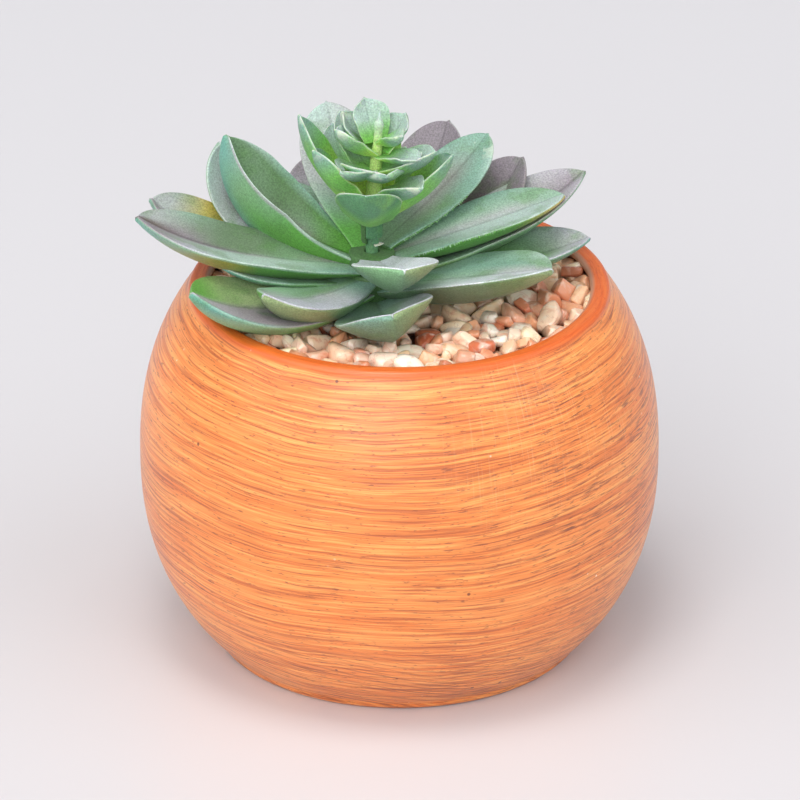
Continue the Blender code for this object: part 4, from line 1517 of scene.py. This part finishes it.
    def build(self, material: bpy.types.Material) -> None:
        """Make the stones by instancing the kinds on the heap's places, and the bed under them.

        Args:
            material: The stone.
        """
        draw = random.Random(self.seed + 1)
        collection = bpy.data.collections.new("chippings")
        bpy.context.scene.collection.children.link(collection)
        for number in range(self.kinds):
            collection.objects.link(self.chipping(draw, number))
        heap = self.heap()
        stones = to_object("gravel_stones", heap.pop("place"), [], material, heap)
        grow(stones, scatter_tree(), Chippings=collection, Finish=material, Size=MM)
        for item in list(collection.objects):
            bpy.data.objects.remove(item)
        bpy.data.collections.remove(collection)
        settle(stones, Slot.STONE, "gravel")
        points, faces = lathe(self.bed, self.bed_sides)
        tones = {"tone": [self.bed_tone] * len(points)}
        settle(to_object("gravel_bed", points, faces, material, tones), Slot.STONE)


def grow(item: bpy.types.Object, tree: bpy.types.NodeTree, **sizes: object) -> None:
    """Run a Geometry Nodes tree on a piece and keep its result as a plain mesh.

    Args:
        item: The piece.
        tree: The tree.
        sizes: The tree's named inputs.
    """
    modifier = item.modifiers.new(tree.name, "NODES")
    modifier.node_group = tree
    for socket in tree.interface.items_tree:
        if socket.name in sizes:
            modifier[socket.identifier] = sizes[socket.name]
    bpy.context.view_layer.update()
    graph = bpy.context.evaluated_depsgraph_get()
    mesh = bpy.data.meshes.new_from_object(item.evaluated_get(graph))
    item.modifiers.clear()
    item.data = mesh


def new_tree(name: str, **inputs: str) -> tuple[bpy.types.NodeTree, list[bpy.types.NodeSocket]]:
    """Start a Geometry Nodes tree that takes a geometry and gives one.

    Args:
        name: The tree's name.
        inputs: The type of each further input by its name.

    Returns:
        The tree and its inputs inside it, the geometry first.
    """
    tree = bpy.data.node_groups.new(name, "GeometryNodeTree")
    kinds = {"Geometry": "Geometry", **inputs}
    for title, kind in kinds.items():
        tree.interface.new_socket(title, in_out="INPUT", socket_type="NodeSocket" + kind)
    tree.interface.new_socket("Geometry", in_out="OUTPUT", socket_type="NodeSocketGeometry")
    return tree, [add(tree, "NodeGroupInput", out=title) for title in kinds]


def scatter_tree() -> bpy.types.NodeTree:
    """Build the tree that sets a chipping on each point, turned and stretched by the point's own values.

    Returns:
        The node group, with the inputs Geometry, Chippings, Finish and Size.
    """
    inputs = {"Chippings": "Collection", "Finish": "Material", "Size": "Float"}
    tree, (places, chippings, finish, size) = new_tree("scatter_chippings", **inputs)
    kinds = add(tree, "GeometryNodeCollectionInfo", {"Collection": chippings, "Separate Children": True})
    turn = add(tree, "GeometryNodeInputNamedAttribute", {"Name": "turn"}, data_type="FLOAT_VECTOR")
    turn = add(tree, "FunctionNodeEulerToRotation", {0: turn})
    half = add(tree, "GeometryNodeInputNamedAttribute", {"Name": "half"}, data_type="FLOAT_VECTOR")
    half = add(tree, "ShaderNodeVectorMath", {0: half, "Scale": size}, operation="SCALE")
    kind = add(tree, "GeometryNodeInputNamedAttribute", {"Name": "kind"}, data_type="FLOAT")
    kind = add(tree, "FunctionNodeFloatToInt", {0: kind})
    links = {"Points": places, "Instance": kinds, "Pick Instance": True, "Instance Index": kind}
    placed = add(tree, "GeometryNodeInstanceOnPoints", {**links, "Rotation": turn, "Scale": half})
    real = add(tree, "GeometryNodeRealizeInstances", {"Geometry": placed})
    dressed = add(tree, "GeometryNodeSetMaterial", {"Geometry": real, "Material": finish})
    add(tree, "NodeGroupOutput", {0: dressed})
    return tree


def flash_tree() -> bpy.types.NodeTree:
    """Build the tree that sets teeth of uneven height along an edge.

    Returns:
        The node group, with the inputs Geometry, Spacing, Height, Width, Seed and Finish.
    """
    inputs = {"Spacing": "Float", "Height": "Float", "Width": "Float", "Seed": "Int", "Finish": "Material"}
    tree, (edge, spacing, height, width, seed, finish) = new_tree("mould_flash", **inputs)
    line = add(tree, "GeometryNodeMeshToCurve", {"Mesh": edge})
    places = add(tree, "GeometryNodeResampleCurve", {"Curve": line, "Length": spacing}, mode="LENGTH")
    cone = {"Vertices": 5, "Radius Top": 0.0, "Radius Bottom": width, "Depth": height}
    tooth = add(tree, "GeometryNodeMeshCone", cone)
    way = add(tree, "GeometryNodeInputNamedAttribute", {"Name": "way"}, data_type="FLOAT_VECTOR")
    turn = add(tree, "FunctionNodeAlignRotationToVector", {"Vector": way}, axis="Z")
    # The mould shut tight in places, so that a tooth's height may be nought there.
    least, most = (0.35, 0.5, 0.0), (1.3, 1.3, 1.25)
    size = {"Min": least, "Max": most, "Seed": seed}
    size = add(tree, "FunctionNodeRandomValue", size, data_type="FLOAT_VECTOR")
    links = {"Points": places, "Instance": tooth, "Rotation": turn, "Scale": size}
    teeth = add(tree, "GeometryNodeInstanceOnPoints", links)
    frost = add(tree, "FunctionNodeRandomValue", {"Seed": seed}, data_type="FLOAT")
    ends = {"A": linear(T.GRASS.value), "B": linear(T.SAGE.value)}
    frost = add(tree, "ShaderNodeMix", {0: frost, **ends}, data_type="RGBA")
    marks = {"Geometry": teeth, "Name": "tint", "Value": frost}
    marked = add(tree, "GeometryNodeStoreNamedAttribute", marks, data_type="FLOAT_VECTOR", domain="INSTANCE")
    real = add(tree, "GeometryNodeRealizeInstances", {"Geometry": marked})
    dressed = add(tree, "GeometryNodeSetMaterial", {"Geometry": real, "Material": finish})
    add(tree, "NodeGroupOutput", {0: dressed})
    return tree


@dataclass(frozen=True)
class MouldFlash:
    """The ragged teeth that the mould's parting line left along an edge of a leaf.

    They are sunk into the rim a little, and point out from it and down by the droop. The reach gives the
    shares of the leaf's length between which they stand.
    """

    spacing: float = 0.55
    height: float = 0.6
    width: float = 0.3
    sunk: float = 0.1
    droop: float = 0.5
    seed: int = 5
    reach: tuple[float, float] = (0.05, 0.62)

    def build(self, leaf: Leaf, root: Vector, seed: float, name: str, material: bpy.types.Material) -> None:
        """Grow teeth along the leaf's near edge.

        Args:
            leaf: The leaf.
            root: Where its midrib starts.
            seed: The seed that its mesh was made with.
            name: The piece's name.
            material: Its finish.
        """
        near = 0 if leaf.near() < 0 else len(BIG_FORM.columns) - 1
        points, ways = [], []
        for row in BIG_FORM.frames(leaf):
            if self.reach[0] < row.share < self.reach[1]:
                upper, _ = BIG_FORM.section(leaf, row, seed)
                points.append(root + upper[near] - row.up * self.sunk)
                ways.append(tuple((row.left * leaf.near() - row.up * self.droop).normalized()))
        edge = to_object(name, points, [], material, {"way": ways})
        edge.data.edges.add(len(points) - 1)
        ends = [end for at in range(len(points) - 1) for end in (at, at + 1)]
        edge.data.edges.foreach_set("vertices", ends)
        sizes = {"Spacing": self.spacing * MM, "Height": self.height * MM, "Width": self.width * MM}
        grow(edge, flash_tree(), Seed=self.seed, Finish=material, **sizes)
        settle(edge, Slot.UPPER)


@dataclass(frozen=True)
class Rod:
    """The moulded rod that the whorls are threaded on; it shows under the head's sleeve."""

    centre: tuple[float, float] = PLANT_AXIS
    radius: float = 1.5
    foot: float = 52.0
    point: float = 0.8
    tip: float = 109.0
    chamfer: tuple[float, float] = (0.6, 1.0)
    sides: int = 32

    def build(self, material: bpy.types.Material) -> None:
        """Make the rod and settle it.

        Args:
            material: The leaf plastic.
        """
        profile = [(0.0, self.foot), (self.radius, self.foot + self.point)]
        profile += [(self.radius, self.tip - self.chamfer[1]), (self.radius - self.chamfer[0], self.tip)]
        profile.append((0.0, self.tip))
        points, faces, values = coated(*lathe(profile, self.sides, self.centre), T.PINE)
        settle(to_object("rod", points, faces, material, values), Slot.ROD, "stem")


class Lamp(Enum):
    """The kinds of studio light."""

    BOX = "AREA"
    SUN = "SUN"


@dataclass(frozen=True)
class Studio:
    """A plain pale floor, a soft tent, a box overhead, four suns behind silk and the camera.

    The glow gives the tent's strength on the camera's side and behind the pot.
    """

    elevation: float = 26.3
    distance: float = 1600.0
    aside: float = 0.15
    aim_height: float = 48.38
    tilt_up: float = 0.386
    lens: float = 298.6
    sensor: float = 36.0
    farthest: float = 20.0
    floor: str = "D4D3D6"
    floor_reach: float = 3000.0
    floor_level: float = -0.05
    sky: str = "F4F4F8"
    glow: tuple[float, float] = (0.64, 0.38)
    lamp_aim: float = 70.0

    def camera(self) -> None:
        """Set the camera at the photograph's angle."""
        data = bpy.data.cameras.new("camera")
        data.lens = self.lens
        data.sensor_width = self.sensor
        data.clip_end = self.farthest
        item = bpy.data.objects.new("camera", data)
        bpy.context.scene.collection.objects.link(item)
        up = math.radians(self.elevation)
        back, rise = self.distance * math.cos(up), self.distance * math.sin(up)
        item.location = Vector((self.aside, -back, self.aim_height + rise)) * MM
        item.rotation_euler = (math.radians(90 - self.elevation + self.tilt_up), 0.0, 0.0)
        bpy.context.scene.camera = item

    def lamp(
        self, name: str, kind: Lamp, place: tuple, size: float, power: float, tint: str = "FFFFFF"
    ) -> None:
        """Add a soft light that faces the pot.

        Args:
            name: Its name.
            kind: Box or sun.
            place: Where it hangs, in millimetres.
            size: A box's side in millimetres, or the angle that a sun fills.
            power: A box's watts, or a sun's watts on a square metre.
            tint: Its colour.
        """
        data = bpy.data.lights.new(name, kind.value)
        if kind is Lamp.BOX:
            data.size = size * MM
        else:
            data.angle = math.radians(size)
        data.energy = power
        data.color = linear(tint)[:3]
        item = bpy.data.objects.new(name, data)
        bpy.context.scene.collection.objects.link(item)
        item.location = Vector(place) * MM
        aim = Vector((0, 0, self.lamp_aim)) - Vector(place)
        item.rotation_euler = aim.to_track_quat("-Z", "Y").to_euler()

    def tent(self) -> None:
        """Make the sky, which is brighter on the camera's side."""
        world = bpy.data.worlds.new("soft_sky")
        world.use_nodes = True
        tree = world.node_tree
        background = tree.nodes["Background"]
        background.inputs["Color"].default_value = linear(self.sky)
        way = add(tree, "ShaderNodeTexCoord", out="Generated")
        depth = add(tree, "ShaderNodeSeparateXYZ", {0: way}, out="Y")
        glow = {"Value": depth, 1: -1.0, 2: 1.0, 3: self.glow[0], 4: self.glow[1]}
        tree.links.new(add(tree, "ShaderNodeMapRange", glow), background.inputs["Strength"])
        bpy.context.scene.world = world

    def build(self) -> None:
        """Make the floor, the sky, the lamps and the camera."""
        material, _, _ = new_material("pale_studio_floor", Roughness=0.4, Base_Color=linear(self.floor))
        side = self.floor_reach
        corners = ((-side, -side), (side, -side), (side, side), (-side, side))
        corners = [(*corner, self.floor_level) for corner in corners]
        floor = to_object("studio_floor", corners, [[0, 1, 2, 3]], material)
        self.tent()
        self.lamp("overhead_box", Lamp.BOX, (-90, -220, 1250), 450, 5.2, "FFFBF7")
        self.lamp("front_sun", Lamp.SUN, (-220, -860, 720), 40, 1.1)
        self.lamp("low_fill", Lamp.SUN, (0, -1000, 160), 60, 0.6)
        self.lamp("left_sun", Lamp.SUN, (-900, -450, 910), 60, 0.9)
        self.lamp("right_sun", Lamp.SUN, (900, -450, 910), 60, 0.75)
        self.camera()
        bpy.context.scene.view_settings.view_transform = "Standard"


def main() -> None:
    """Build the finishes, then each sub-assembly in order, then the studio."""
    logging.basicConfig(level=logging.INFO, format="%(name)s: %(message)s")
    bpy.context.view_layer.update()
    whorl_plastic = FrostedLeafPlastic(name="frosted_leaf_polyethylene", flecks=0.6).build()
    head_plastic = FrostedLeafPlastic(
        name="frosted_lime_polyethylene",
        bare="8CC454",
        rim="E2E6D2",
        rim_brown="A79A78",
        rim_from=0.97,
        rim_strength=0.4,
        browned=0.6,
        flecks=0.55,
        roughness=0.4,
        translucency=0.3,
    ).build()
    Pot().build(BrushedGlaze().build())
    frame["nodes"]["foam"].material_slots[0].material = CutFoam().build()
    LOG.info("foam: the CAD solid keeps its shape, slot %s", Slot.FOAM.value)
    Gravel().build(TumbledStone().build())
    Rod().build(whorl_plastic)
    lower = Whorl(
        "lower_leaves", LOWER_LEAVES, hub=(89.7, 97.5), level=93.3, slot=Slot.LOWER, node="whorl_lower"
    )
    lower.build(whorl_plastic)
    upper = Whorl(
        "upper_leaves", UPPER_LEAVES, hub=(97.8, 102.2), level=101.9, slot=Slot.UPPER, node="whorl_upper"
    )
    upper.build(whorl_plastic)
    # The two upper leaves at the right kept the mould's parting line.
    for number in (1, 2):
        leaf = UPPER_LEAVES[number]
        flash = MouldFlash(seed=number)
        flash.build(leaf, upper.root(leaf), upper.seed(number), f"mould_flash_{number}", whorl_plastic)
    Head().build(head_plastic)
    Studio().build()


if __name__ == "__main__":
    main()
